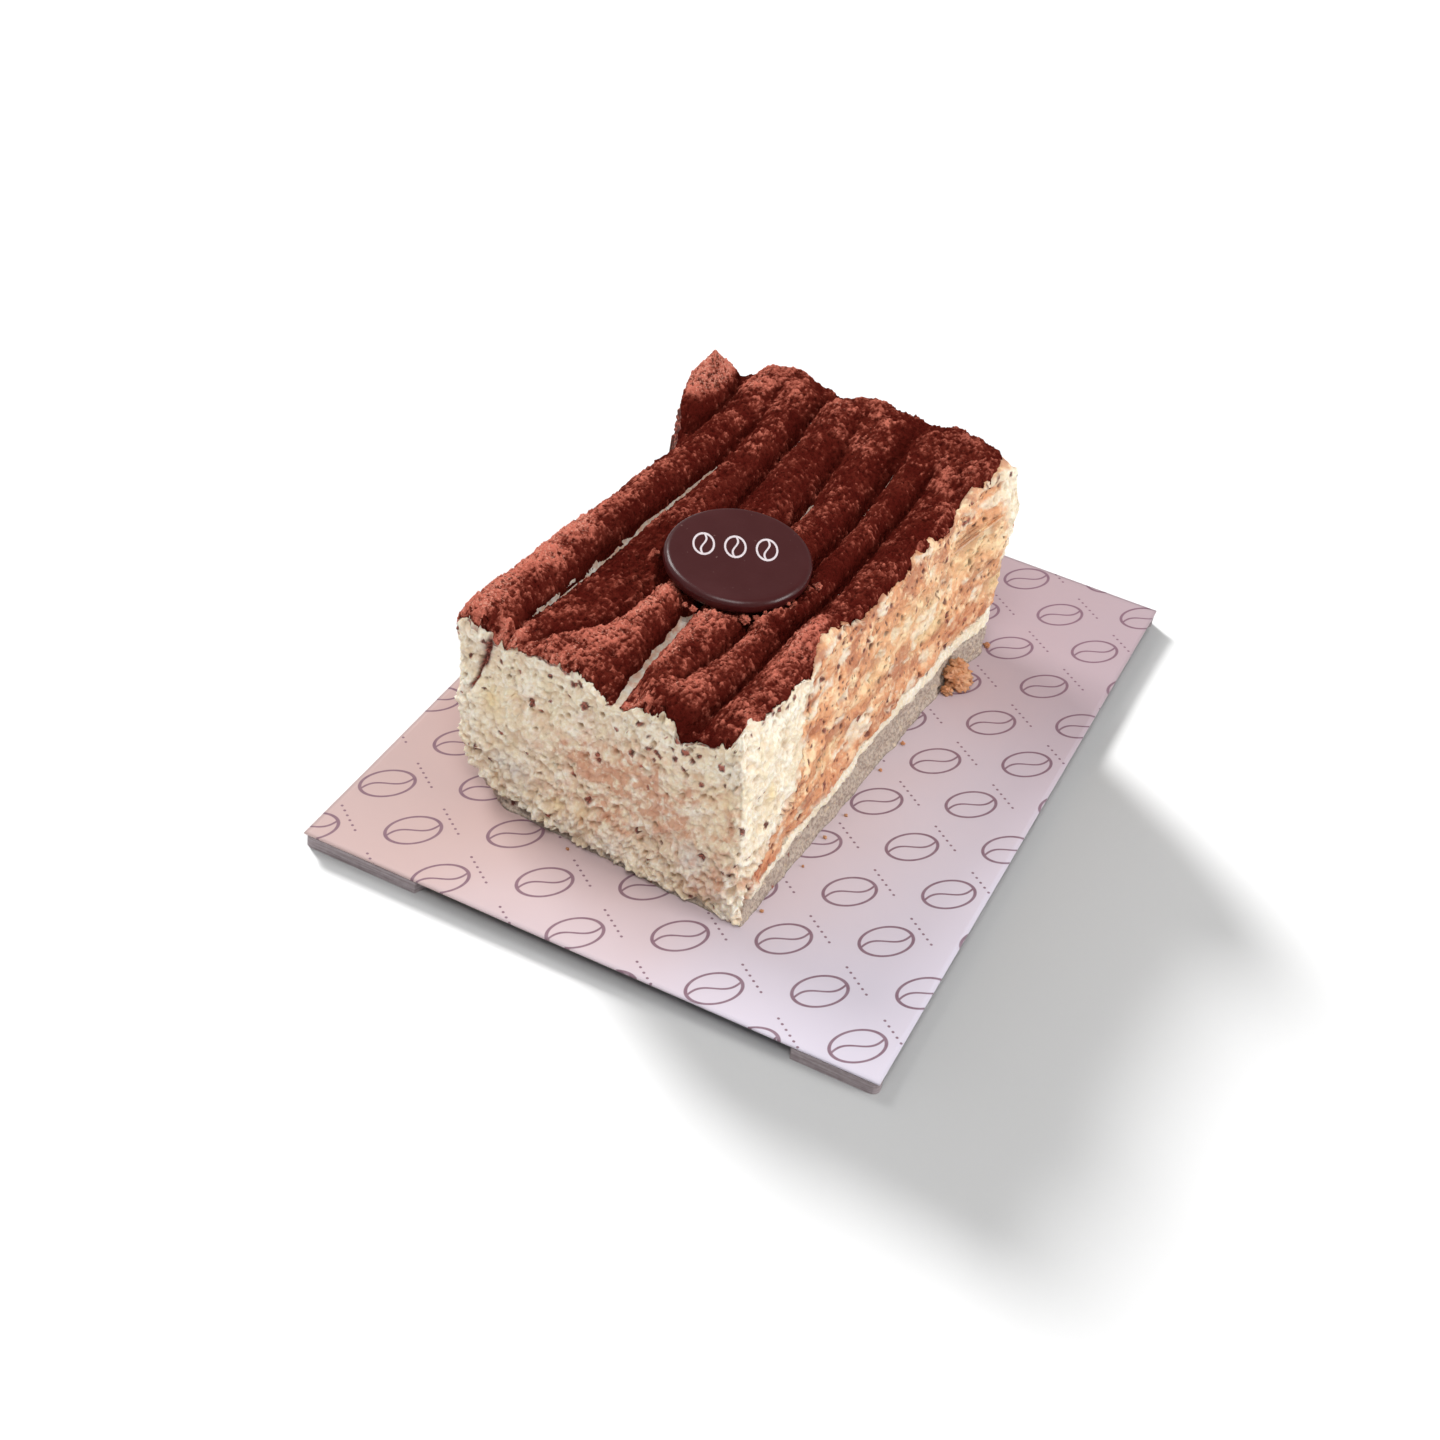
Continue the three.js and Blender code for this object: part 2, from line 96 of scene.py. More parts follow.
def bump(x: Array, centre: float, half: float) -> Array:
    """Bell between 0 and 1 round a centre, with a half width."""
    return np.exp(-(((x - centre) / half) ** 2))


def round_section(x: Array) -> Array:
    """Round section of a rope: 1 on its crest, 0 in the grooves at -1 and 1."""
    return np.sqrt(np.clip(1 - x * x, 0, None))


def along_points(x: Array, table: tuple[tuple[float, float], ...]) -> Array:
    """Straight lines between the points of a small table."""
    places, values = zip(*table)
    return np.interp(x, places, values)


def stack(*columns: Array) -> Array:
    """Columns side by side as points."""
    return np.stack(np.broadcast_arrays(*columns), axis=-1).astype(float)


@dataclass(frozen=True)
class Noise:
    """Seeded noise in space, the same on every run."""

    seed: int

    def _hash(self, cells: Array, salt: int) -> Array:
        """Number from 0 to 1 for each whole-numbered cell."""
        c = cells.astype(np.int64).astype(np.uint32)
        mix = c[..., 0] * np.uint32(0x8DA6B343)
        mix ^= c[..., 1] * np.uint32(0xD8163841)
        mix ^= c[..., 2] * np.uint32(0xCB1AB31F)
        mix ^= np.uint32((self.seed * 0x9E3779B1 + salt * 0x85EBCA6B) & 0xFFFFFFFF)
        for shift, factor in ((15, 0x2C1B3C6D), (12, 0x297A2D39)):
            mix ^= mix >> np.uint32(shift)
            mix = mix * np.uint32(factor)
        mix ^= mix >> np.uint32(15)
        return mix.astype(float) / 0xFFFFFFFF

    def value(self, points: Array) -> Array:
        """Smooth noise between -1 and 1 with features of about one unit."""
        base = np.floor(points)
        f = points - base
        f = f * f * f * (f * (f * 6 - 15) + 10)
        total = np.zeros(points.shape[:-1])
        for corner in np.ndindex(2, 2, 2):
            weight = np.prod(np.where(np.array(corner) == 1, f, 1 - f), axis=-1)
            total += weight * self._hash(base + np.array(corner), 1)
        return 2 * total - 1

    def fractal(self, points: Array, octaves: int = 4, gain: float = 0.5) -> Array:
        """Sum of ever finer noise, between about -1 and 1.

        Args:
            points: Places, in units of the broadest feature.
            octaves: How many layers are summed.
            gain: Strength of each layer against the one before.

        Returns:
            One value for each point.
        """
        total = np.zeros(points.shape[:-1])
        strength, reach = 1.0, 0.0
        for octave in range(octaves):
            total += strength * self.value(points * 2.03**octave + 17.3 * octave)
            reach += strength
            strength *= gain
        return total / reach * 1.6

    def cells(self, points: Array) -> tuple[Array, Array]:
        """Distance to the nearest scattered seed and that seed's own number.

        Args:
            points: Places, in units of the seeds' spacing.

        Returns:
            Distances, and a number from 0 to 1 for each seed.
        """
        base = np.floor(points)
        nearest = np.full(points.shape[:-1], 9.0)
        number = np.zeros(points.shape[:-1])
        for offset in np.ndindex(3, 3, 3):
            cell = base + np.array(offset) - 1
            seed = cell + stack(*(self._hash(cell, salt) for salt in (2, 3, 4)))
            distance = np.linalg.norm(points - seed, axis=-1)
            closer = distance < nearest
            nearest = np.where(closer, distance, nearest)
            number = np.where(closer, self._hash(cell, 5), number)
        return nearest, number

    def domes(self, points: Array, width: float = 0.62) -> Array:
        """Round lumps between 0 and 1, packed side by side."""
        return np.clip(1 - (self.cells(points)[0] / width) ** 2, 0, 1)

    def pits(self, points: Array, share: float, small: float, large: float) -> Array:
        """Round holes between 0 and 1.

        Args:
            points: Places, in units of the holes' spacing.
            share: Share of the seeds that have a hole.
            small: Radius of the smallest hole.
            large: Radius of the largest hole.

        Returns:
            Depth shares.
        """
        distance, number = self.cells(points)
        radius = small + (large - small) * np.clip(number / max(share, 1e-6), 0, 1)
        return np.where(number < share, 1 - smoothstep(distance / radius, 0.45, 1.1), 0)


def ripple(x: Array, y: Array, seed: float) -> Array:
    """Slow unevenness of the solids, repeated here."""
    broad = np.sin(0.21 * x + 1.7 * seed) * np.cos(0.27 * y + 0.9 * seed)
    fine = np.sin(0.53 * x - 0.41 * y + 2.3 * seed) * np.cos(0.19 * x + 0.61 * y - seed)
    return 0.6 * broad + 0.4 * fine


# ---------------------------------------------------------------- the outer form


@dataclass(frozen=True)
class Turn:
    """Turn that joins two neighbouring ropes."""

    rope: int
    centre: float
    reach: float
    fill: float
    lead: float


@dataclass(frozen=True)
class BareLine:
    """Stretch of a groove with a flat floor that the cocoa left bare."""

    groove: int
    start: float
    end: float
    half_width: float


@dataclass(frozen=True)
class CakeForm:
    """Outer form of the cake, as the solids have it, with its finer features."""

    corner: Triple = (19.33, -55.25, 2.7)
    turn_deg: float = -5.4
    left_side: float = -60.4
    left_foot: float = 10.2
    left_fade: float = 6.5
    right_lean: float = 0.12
    right_taper: float = 0.0275
    right_flare: float = 4.0
    back_foot: float = 97.8
    back_bulge: float = 4.6
    back_bulge_height: float = 26.0
    back_draw_in: float = 2.0
    relief: float = 0.55
    rope_lines: tuple[tuple[tuple[float, float], ...], ...] = (
        ((0, -60.4), (40, -59.9), (70, -59.6), (100, -59.6)),
        ((0, -49.9), (10, -50.3), (100, -50.5)),
        ((-2, -47.8), (3.6, -46.2), (6, -45.0), (9.5, -41.9), (12, -39.6), (17, -38.2), (28, -38.0),
         (50, -39.6), (67, -41.2), (78, -42.2), (86, -42.8), (94, -42.2), (102, -41.8)),
        ((-2, -27.5), (10, -28.6), (19, -29.8), (27, -30.0), (62, -29.9), (70, -30.9), (80, -32.8),
         (88, -33.4), (100, -33.0)),
        ((0, -19.8), (8, -20.6), (20, -20.2), (40, -19.8), (57, -20.3), (66, -21.0), (76, -22.0),
         (84, -23.0), (95, -22.8), (102, -22.4)),
        ((0, -13.4), (20, -13.2), (45, -13.6), (60, -14.2), (68, -15.0), (79, -15.8), (90, -15.6),
         (100, -15.0)),
        ((0, -2.3), (78, -4.7), (86, -4.4), (96, -1.6), (102, -1.2)),
    )
    round_ends: tuple[tuple[int, float, float], ...] = (
        (0, 3.5, 0.2), (1, 6, 0.2), (2, 8.0, 0.06), (5, 5, 0.12),
    )
    bulb_rises: tuple[float, ...] = (0.0, 0.0, 0.7, 0.7, 1.5, 1.3)
    back_fills: tuple[tuple[float, float], ...] = (
        (-62, 0.0), (-57, 1.0), (-50, 2.6), (-43.7, 2.4), (-34, 3.0), (-26, 4.6), (-10, 4.4), (0, 3.6),
    )
    knobs: tuple[tuple[float, float, float, float], ...] = (
        (-49.9, 2.2, 1.3, 1.1), (-54.0, 1.8, 1.1, 0.5), (-42.0, 1.6, 1.5, 0.6), (-46.0, 2.6, 1.2, 0.5),
        (-24.0, 1.4, 1.3, 0.7), (-22.2, 2.4, 1.0, 0.5), (-7.0, 5.2, 1.3, 0.9), (-10.2, 7.4, 1.0, 0.7),
        (-8.4, 79.0, 1.5, 0.9), (-7.2, 86.5, 1.7, 1.3), (-9.4, 83.0, 1.6, -1.8), (-11.0, 88.0, 1.2, -0.9),
        (-33.4, 6.4, 0.8, -1.2), (-32.0, 3.8, 0.6, -0.9), (-30.9, 4.6, 0.6, -0.8), (-40.6, 4.0, 1.5, -0.7),
        (-31.8, 15.4, 0.9, -0.7), (-22.4, 15.0, 0.8, -1.1), (-36.6, 12.0, 0.8, -0.5), (-51.6, 1.6, 0.8, -1.6),
        (-21.4, 7.6, 0.7, -0.7), (-27.0, 8.5, 0.9, 0.4), (-25.2, 18.8, 1.0, 0.5), (-24.2, 12.6, 0.8, 0.5),
        (-8.8, 14.5, 1.2, 0.5), (-7.8, 21.0, 1.1, 0.5), (-8.9, 26.5, 1.1, 0.4), (-9.6, 11.0, 0.8, -0.8),
    )
    crest: float = 38.2
    groove: float = 34.2
    rim: float = 33.0
    rise_start: float = 80.0
    rise_end: float = 94.0
    crest_rise: float = 3.6
    groove_rise: float = 2.6
    turns: tuple[Turn, ...] = (
        Turn(0, 90.5, 10.5, 0.72, 2.4),
        Turn(2, 90.5, 10.5, 0.62, 1.6),
        Turn(3, 8.0, -8.4, 0.72, 1.3),
        Turn(4, 90.5, 10.5, 0.6, 1.8),
    )
    bare_lines: tuple[BareLine, ...] = (
        BareLine(1, 8, 30, 0.42),
        BareLine(1, 28, 70, 0.5),
        BareLine(3, -4, 8, 0.62),
        BareLine(3, 4, 27, 0.8),
        BareLine(3, 62, 70, 0.25),
        BareLine(4, 63.5, 68, 0.16),
        BareLine(4, 72.5, 77, 0.2),
        BareLine(4, 83, 86, 0.2),
        BareLine(2, 82, 85.5, 0.2),
        BareLine(2, 88, 90, 0.16),
    )
    tail_place: tuple[float, float] = (-64.0, 87.5)
    tail_height: float = 45.2
    tail_foot: float = 33.5
    tail_half_width: float = 6.2
    tail_lengths: tuple[float, float] = (16.0, 12.0)
    tail_reach: float = 5.6
    tail_sharpness: float = 1.15
    front_edge: tuple[tuple[float, float], ...] = (
        (-61, 34.0), (-58, 34.0), (-54.4, 33.2), (-52.4, 31.6), (-49.5, 32.5), (-46.6, 33.7),
        (-38.8, 34.2), (-33, 33.7), (-29.9, 32.2), (-26.7, 32.0), (-23.4, 33.3),
        (-20.5, 33.0), (-15.6, 31.5), (-12, 32.4), (-5.6, 32.9), (0, 33.2),
    )
    edge_height: float = 33.7
    corner_radii: tuple[float, float, float, float] = (3.2, 1.3, 2.6, 4.5)
    lump_place: tuple[float, float] = (-4.6, 1.5)
    lump_half: tuple[float, float] = (3.4, 5)
    lump_height: float = 38.8
    seat_gap: float = 0.8
    noise: Noise = Noise(3)

    def tail_window(self, v: Array) -> Array:
        """How far the tail is grown at a depth: 0 away from it, 1 at its peak."""
        middle, front, back = self.tail_place[1], *self.tail_lengths
        rising = smoothstep(v, middle - front - 4, middle - 4)
        return rising * (1 - smoothstep(v, middle + 4, middle + back + 2))

    def left(self, z: Array, v: Array) -> Array:
        """Left face: a foot that is drawn in under a fuller side."""
        foot = self.left_foot * np.exp(-z / self.left_fade)
        flare = self.tail_reach * self.tail_window(v) * smoothstep(z, 16, self.rim)
        return self.left_side + foot - flare + self.relief * ripple(v, z, 3)

    def right(self, z: Array, v: Array) -> Array:
        """Right face, a cut that leans in and closes in towards the back."""
        flare = self.right_flare * smoothstep(v, 82, 98) * (0.3 + 0.7 * smoothstep(z, 6, 34))
        return flare - self.right_lean * z - self.right_taper * v + self.relief * ripple(v, z, 2)

    def front(self, z: Array, u: Array) -> Array:
        """Front face."""
        return 0.6 * self.relief * ripple(u, z, 1)

    def back(self, z: Array, u: Array) -> Array:
        """Back face, fullest at two thirds of the height."""
        bulge = self.back_bulge * np.sin(TAU / 4 * np.clip(z / self.back_bulge_height, 0, 1))
        draw_in = self.back_draw_in * smoothstep(z, self.back_bulge_height + 2, self.crest)
        return self.back_foot + bulge - draw_in + self.relief * ripple(u, z, 4)

    def rope_edges(self, v: Array) -> Array:
        """Lines where rope meets rope, from the first rope's left side, with a little sway."""
        edges = np.stack([along_points(v, line) for line in self.rope_lines], axis=-1)
        for line in range(1, ROPES):
            edges[..., line] += 0.4 * self.noise.fractal(stack(v / 11, 7.7 * line, 0.5), 3)
        return edges

    def floor_widths(self, v: Array) -> Array:
        """Half width of the flat floor of each groove."""
        widths = np.zeros((*v.shape, ROPES + 1))
        for line in self.bare_lines:
            inside = smoothstep(v, line.start - 1.5, line.start + 1.5)
            inside = inside * (1 - smoothstep(v, line.end - 1.5, line.end + 1.5))
            widths[..., line.groove] = np.maximum(widths[..., line.groove], line.half_width * inside)
        return widths

    def crest_height(self, rope: int, v: Array) -> Array:
        """Height of a rope's crest along it."""
        rise = self.crest_rise + self.bulb_rises[rope]
        height = self.crest + rise * smoothstep(v, self.rise_start, self.rise_end)
        if rope == 0:
            height = height + 1.1 * (1 - smoothstep(v, 32, 36))
        if rope == 1:
            height = height - 1.7 * (1 - smoothstep(v, 24, 46))
        if rope == 5:
            height = height + 2.8 * round_section((v - 30) / 8) ** 2
        uneven = self.noise.fractal(stack(v / 9, 3.1 * rope, 4.5), 3)
        return height + 0.4 * ripple(7.0 * rope, v, 5) + 0.45 * uneven

    def groove_height(self, u: Array, v: Array) -> Array:
        """Height of the grooves, which grow shallow between the bulbs at the back."""
        rise = self.groove_rise * smoothstep(v, self.rise_start, self.rise_end)
        between = smoothstep(v, 82, 95) * (1 - smoothstep(v, 98.5, 101.5))
        return self.groove + rise + between * along_points(u, self.back_fills)

    def rope_height(self, u: Array, v: Array) -> Array:
        """Height of the straight ropes and the turns between them."""
        groove = self.groove_height(u, v)
        edges, floors = self.rope_edges(v), self.floor_widths(v)
        height = groove.copy()
        for rope in range(ROPES):
            straight = np.ones_like(v, bool)
            near = edges[..., rope] + floors[..., rope]
            far = edges[..., rope + 1] - floors[..., rope + 1]
            across = np.clip((u - (near + far) / 2) / ((far - near) / 2), -1, 1)
            section = self.section(across, rope, v)
            for turn in self.turns:
                if rope in (turn.rope, turn.rope + 1):
                    past = (v - turn.centre) / turn.reach
                    straight &= past <= 0
                    inward = across > 0 if rope == turn.rope else across < 0
                    section = np.where(inward, lerp(section, 1, self.fill(turn, past)), section)
            for end, length, share in self.round_ends:
                if rope == end:
                    section = section * np.maximum(share, round_section(1 - np.clip(v / length, 0, 1)))
            inside = (u >= near) & (u <= far) & straight
            shaped = groove + (self.crest_height(rope, v) - groove) * section
            height = np.where(inside, np.maximum(height, shaped), height)
        for turn in self.turns:
            past = (v - turn.centre) / turn.reach
            middle = edges[..., turn.rope + 1]
            outer_left = middle - edges[..., turn.rope] - floors[..., turn.rope]
            outer_right = edges[..., turn.rope + 2] - middle - floors[..., turn.rope + 2]
            side = np.where(u < middle, outer_left, outer_right)
            radius = np.hypot((u - middle) / side, past)
            ring = np.clip(2 * radius - 1, -1, 1)
            section = self.section(np.where(u < middle, -ring, ring), turn.rope, v)
            section = np.where(radius < 0.5, lerp(section, 1, self.fill(turn, past)), section)
            crest = np.where(u < middle, self.crest_height(turn.rope, v), self.crest_height(turn.rope + 1, v))
            shaped = groove + (crest - groove) * section
            height = np.where((past >= 0) & (radius <= 1), np.maximum(height, shaped), height)
        return height

    def section(self, across: Array, rope: int, v: Array) -> Array:
        """Section of a rope: gentle on its left, steep on its right, softer towards the back."""
        steep = 0.52 + 0.42 * smoothstep(v, 35, 70) + 0.03 * rope
        gentle = 0.98 - 0.06 * rope
        return np.clip(1 - across * across, 0, 1) ** np.where(across < 0, gentle, steep)

    def fill(self, turn: Turn, past: Array) -> Array:
        """How far the inside of a turn is filled, from its lead to its end."""
        return turn.fill * smoothstep(past, -turn.lead, 0.3)

    def height(self, u: Array, v: Array) -> Array:
        """Height of the cream's top at a place."""
        first = self.rope_edges(v)[..., 0]
        outward = np.clip((first - u) / (first - self.left(self.rim, v)), 0, 1)
        inner = self.groove_height(u, v)
        rim = lerp(inner, self.rim + 0.85 * (inner - self.groove), outward * outward)
        height = np.where(u < first, rim, self.rope_height(u, v))
        height = height + 0.35 * self.noise.fractal(stack(u / 6.5, v / 6.5, 2.5), 3)
        for place, along, radius, rise in self.knobs:
            height = height + rise * np.exp(-(((u - place) ** 2 + (v - along) ** 2) / radius**2))
        height = np.maximum(height, self.tail(u, v))
        drop = self.edge_height - along_points(u, self.front_edge)
        height = height - drop * (1 - smoothstep(v, 0.3, 4.5))
        height = np.maximum(height, self.lump(u, v))
        pressed = 0.9 * bump(DISC.outside(u, v), 1.3, 1.0) * (1 - smoothstep(v, 36, 46))
        return np.minimum(height + pressed, self.seat(u, v))

    def tail(self, u: Array, v: Array) -> Array:
        """Height of the raised tail on the back left corner."""
        across, along = self.tail_place
        length = np.where(v < along, *self.tail_lengths)
        radius = np.hypot((u - across) / self.tail_half_width, (v - along) / length)
        rise = self.tail_height - self.tail_foot
        return self.tail_foot + rise * (1 - radius**self.tail_sharpness)

    def lump(self, u: Array, v: Array) -> Array:
        """Height of the bare cream lump on the front right corner."""
        across = (u - self.lump_place[0]) / self.lump_half[0]
        along = (v - self.lump_place[1]) / self.lump_half[1]
        return self.lump_height - 6 * (across**2 + along**2)

    def seat(self, u: Array, v: Array) -> Array:
        """Highest the cream may stand near the disc, whose seat is pressed into the ropes."""
        return DISC.underside(u, v) - self.seat_gap + 3 * np.clip(DISC.outside(u, v) - 0.1, 0, None)

    def rounded(self, u: Array, v: Array, z: Array) -> tuple[Array, Array]:
        """Moves places near the upright corners on to rounded corners.

        Args:
            u: Places across.
            v: Places along.
            z: Heights.

        Returns:
            The moved places.
        """
        sides = (u - self.left(z, v), self.right(z, v) - u)
        ends = (v - self.front(z, u), self.back(z, u) - v)
        shift_u, shift_v = np.zeros_like(u), np.zeros_like(v)
        for radius, side, end in zip(self.corner_radii, (0, 1, 1, 0), (0, 0, 1, 1)):
            qx, qy = radius - sides[side], radius - ends[end]
            near = (qx > 0) & (qy > 0)
            big, small = np.maximum(qx, qy), np.minimum(qx, qy)
            angle = TAU / 8 * small / np.where(near, big, 1)
            long, short = big * np.cos(angle), big * np.sin(angle)
            new_x = np.where(qx >= qy, long, short)
            new_y = np.where(qx >= qy, short, long)
            shift_u += np.where(near, (qx - new_x) * (1 - 2 * side), 0)
            shift_v += np.where(near, (qy - new_y) * (1 - 2 * end), 0)
        return u + shift_u, v + shift_v

    def guess(self, si: Array) -> Array:
        """First guess of the places at shares of the way across."""
        return -60 + 58 * si

    def between(self, u: Array, z: Array, si: Array, sj: Array) -> tuple[Array, Array]:
        """Places at shares of the way across and along, from a first guess across."""
        v = lerp(self.front(z, u), self.back(z, u), sj)
        return lerp(self.left(z, v), self.right(z, v), si), v

    def to_row(self, points: Array) -> Array:
        """Points of the cake's frame in millimetres as points of the row frame in metres."""
        turn = math.radians(self.turn_deg)
        u, v, z = points[..., 0], points[..., 1], points[..., 2]
        x = self.corner[0] + u * math.cos(turn) - v * math.sin(turn)
        y = self.corner[1] + u * math.sin(turn) + v * math.cos(turn)
        return stack(x, y, z + self.corner[2]) * MM


@dataclass(frozen=True)
class DiscPlace:
    """Where the chocolate disc lies, and how it tilts."""

    radius: float = 12.7
    thickness: float = 2.7
    centre: Triple = (-28.6, 37.6, 40.95)
    tilt_deg: float = 5.0
    heading_deg: float = -65.0
    motif: tuple[float, float] = (-30.0, 38.8)

    def underside(self, u: Array, v: Array) -> Array:
        """Height of the disc's underside, as a plane that goes on outside it."""
        slope = math.tan(math.radians(self.tilt_deg))
        heading = math.radians(self.heading_deg)
        along = (u - self.centre[0]) * math.cos(heading) + (v - self.centre[1]) * math.sin(heading)
        return self.centre[2] - self.thickness / 2 - slope * along

    def outside(self, u: Array, v: Array) -> Array:
        """How far outside the disc's edge a place lies."""
        return np.hypot(u - self.centre[0], v - self.centre[1]) - self.radius


DISC = DiscPlace()


# ---------------------------------------------------------------- meshes


def new_object(name: str, data: bpy.types.ID) -> bpy.types.Object:
    """Object of some data, linked to the scene."""
    made = bpy.data.objects.new(name, data)
    bpy.context.scene.collection.objects.link(made)
    return made


@dataclass
class Shell:
    """Points and triangles of one closed body in the cake's frame."""

    points: list[Array] = field(default_factory=list)
    triangles: list[Array] = field(default_factory=list)
    hidden: list[Array] = field(default_factory=list)
    channels: dict[str, list[Array]] = field(default_factory=dict)
    count: int = 0

    def add_points(self, points: Array, **channels: Array) -> int:
        """Adds points with their channels and returns the first one's index."""
        start = self.count
        points = points.reshape(-1, 3)
        self.points.append(points)
        for name, values in channels.items():
            self.channels.setdefault(name, []).append(values.reshape(len(points), -1))
        self.count += len(points)
        return start

    def add_grid(self, points: Array, **channels: Array) -> Array:
        """Adds a grid of points with their channels and returns their indices."""
        rows, columns = points.shape[:2]
        return self.add_points(points, **channels) + np.arange(rows * columns).reshape(rows, columns)

    def add_triangles(self, triangles: Array, hidden: bool = False) -> None:
        """Adds triangles; hidden ones close the body inside the cake and stay flat."""
        triangles = np.asarray(triangles, np.int64).reshape(-1, 3)
        self.triangles.append(triangles)
        self.hidden.append(np.full(len(triangles), hidden))

    def make(self, name: str, form: CakeForm | None) -> bpy.types.Object:
        """Mesh object of the body, without points that no triangle uses.

        Args:
            name: Name of the piece.
            form: Form whose frame the points are in, or none for the row frame.

        Returns:
            The object, linked to the scene.
        """
        triangles = np.concatenate(self.triangles)
        hidden = np.concatenate(self.hidden)
        used, flat_index = np.unique(triangles, return_inverse=True)
        triangles = flat_index.reshape(-1, 3)
        points = np.concatenate(self.points)[used]
        points = form.to_row(points) if form else points * MM
        mesh = bpy.data.meshes.new(name)
        mesh.vertices.add(len(points))
        mesh.vertices.foreach_set("co", points.astype(np.float32).ravel())
        mesh.loops.add(triangles.size)
        mesh.loops.foreach_set("vertex_index", triangles.astype(np.int32).ravel())
        mesh.polygons.add(len(triangles))
        mesh.polygons.foreach_set("loop_start", np.arange(0, triangles.size, 3, dtype=np.int32))
        mesh.update(calc_edges=True)
        mesh.polygons.foreach_set("use_smooth", ~hidden)
        for channel, parts in self.channels.items():
            values = np.concatenate(parts)[used].astype(np.float32)
            kind = "FLOAT" if values.shape[1] == 1 else "FLOAT_COLOR"
            attribute = mesh.attributes.new(channel, kind, "POINT")
            attribute.data.foreach_set("value" if kind == "FLOAT" else "color", values.ravel())
        mesh.validate()
        return new_object(name, mesh)


def quads(a: Array, b: Array, c: Array, d: Array) -> Array:
    """Triangles of quads that are given by their corners' indices."""
    return np.concatenate([np.stack(corners, -1).reshape(-1, 3) for corners in ((a, b, c), (a, c, d))])


def grid_triangles(rows: Array) -> Array:
    """Triangles of a grid of point indices, facing up for a grid of across by along."""
    return quads(rows[:-1, :-1], rows[1:, :-1], rows[1:, 1:], rows[:-1, 1:])


def skirt(upper: Array, lower: Array) -> Array:
    """Triangles between two rings of as many points, facing outwards."""
    return quads(upper, lower, np.roll(lower, -1), np.roll(upper, -1))


def ring_of(rows: Array) -> Array:
    """Outer ring of a grid, counterclockwise from its front left corner."""
    return np.concatenate([rows[:-1, 0], rows[-1, :-1], rows[:0:-1, -1], rows[0, :0:-1]])


def coarse_lid(rows: Array, ring: Array, step: int) -> Array:
    """Triangles of a coarse grid whose edge is stitched to a fine ring.

    Args:
        rows: Point indices of the fine grid, whose sides are multiples of the step.
        ring: Fine ring that the lid ends at, one index for each point of the grid's edge.
        step: How many fine steps a coarse one takes.

    Returns:
        Triangles that face up.
    """
    inner = rows[step:-step:step, step:-step:step]
    across, along = rows.shape[0] - 1, rows.shape[1] - 1
    coarse = ring_of(inner)
    sides = [across, along, across, along]
    anchors, start = [], 0
    for side in sides:
        anchors += [start, *range(start + 2 * step, start + side - step, step)]
        start += side
    anchors.append(start)
    triangles = [grid_triangles(inner)]
    ring_length = len(ring)
    for here in range(len(coarse)):
        a, b = coarse[here], coarse[(here + 1) % len(coarse)]
        begin, end = anchors[here], anchors[here + 1]
        middle = (begin + end) // 2
        fine = np.arange(begin, end)
        near = np.where(fine < middle, a, b)
        triangles.append(np.stack([ring[fine % ring_length], ring[(fine + 1) % ring_length], near], -1))
        triangles.append(np.array([[a, ring[middle % ring_length], b]]))
    return np.concatenate(triangles)


class Side(Enum):
    """Outer faces, in the order of the wall's columns."""

    FRONT = 0
    RIGHT = 1
    BACK = 2
    LEFT = 3


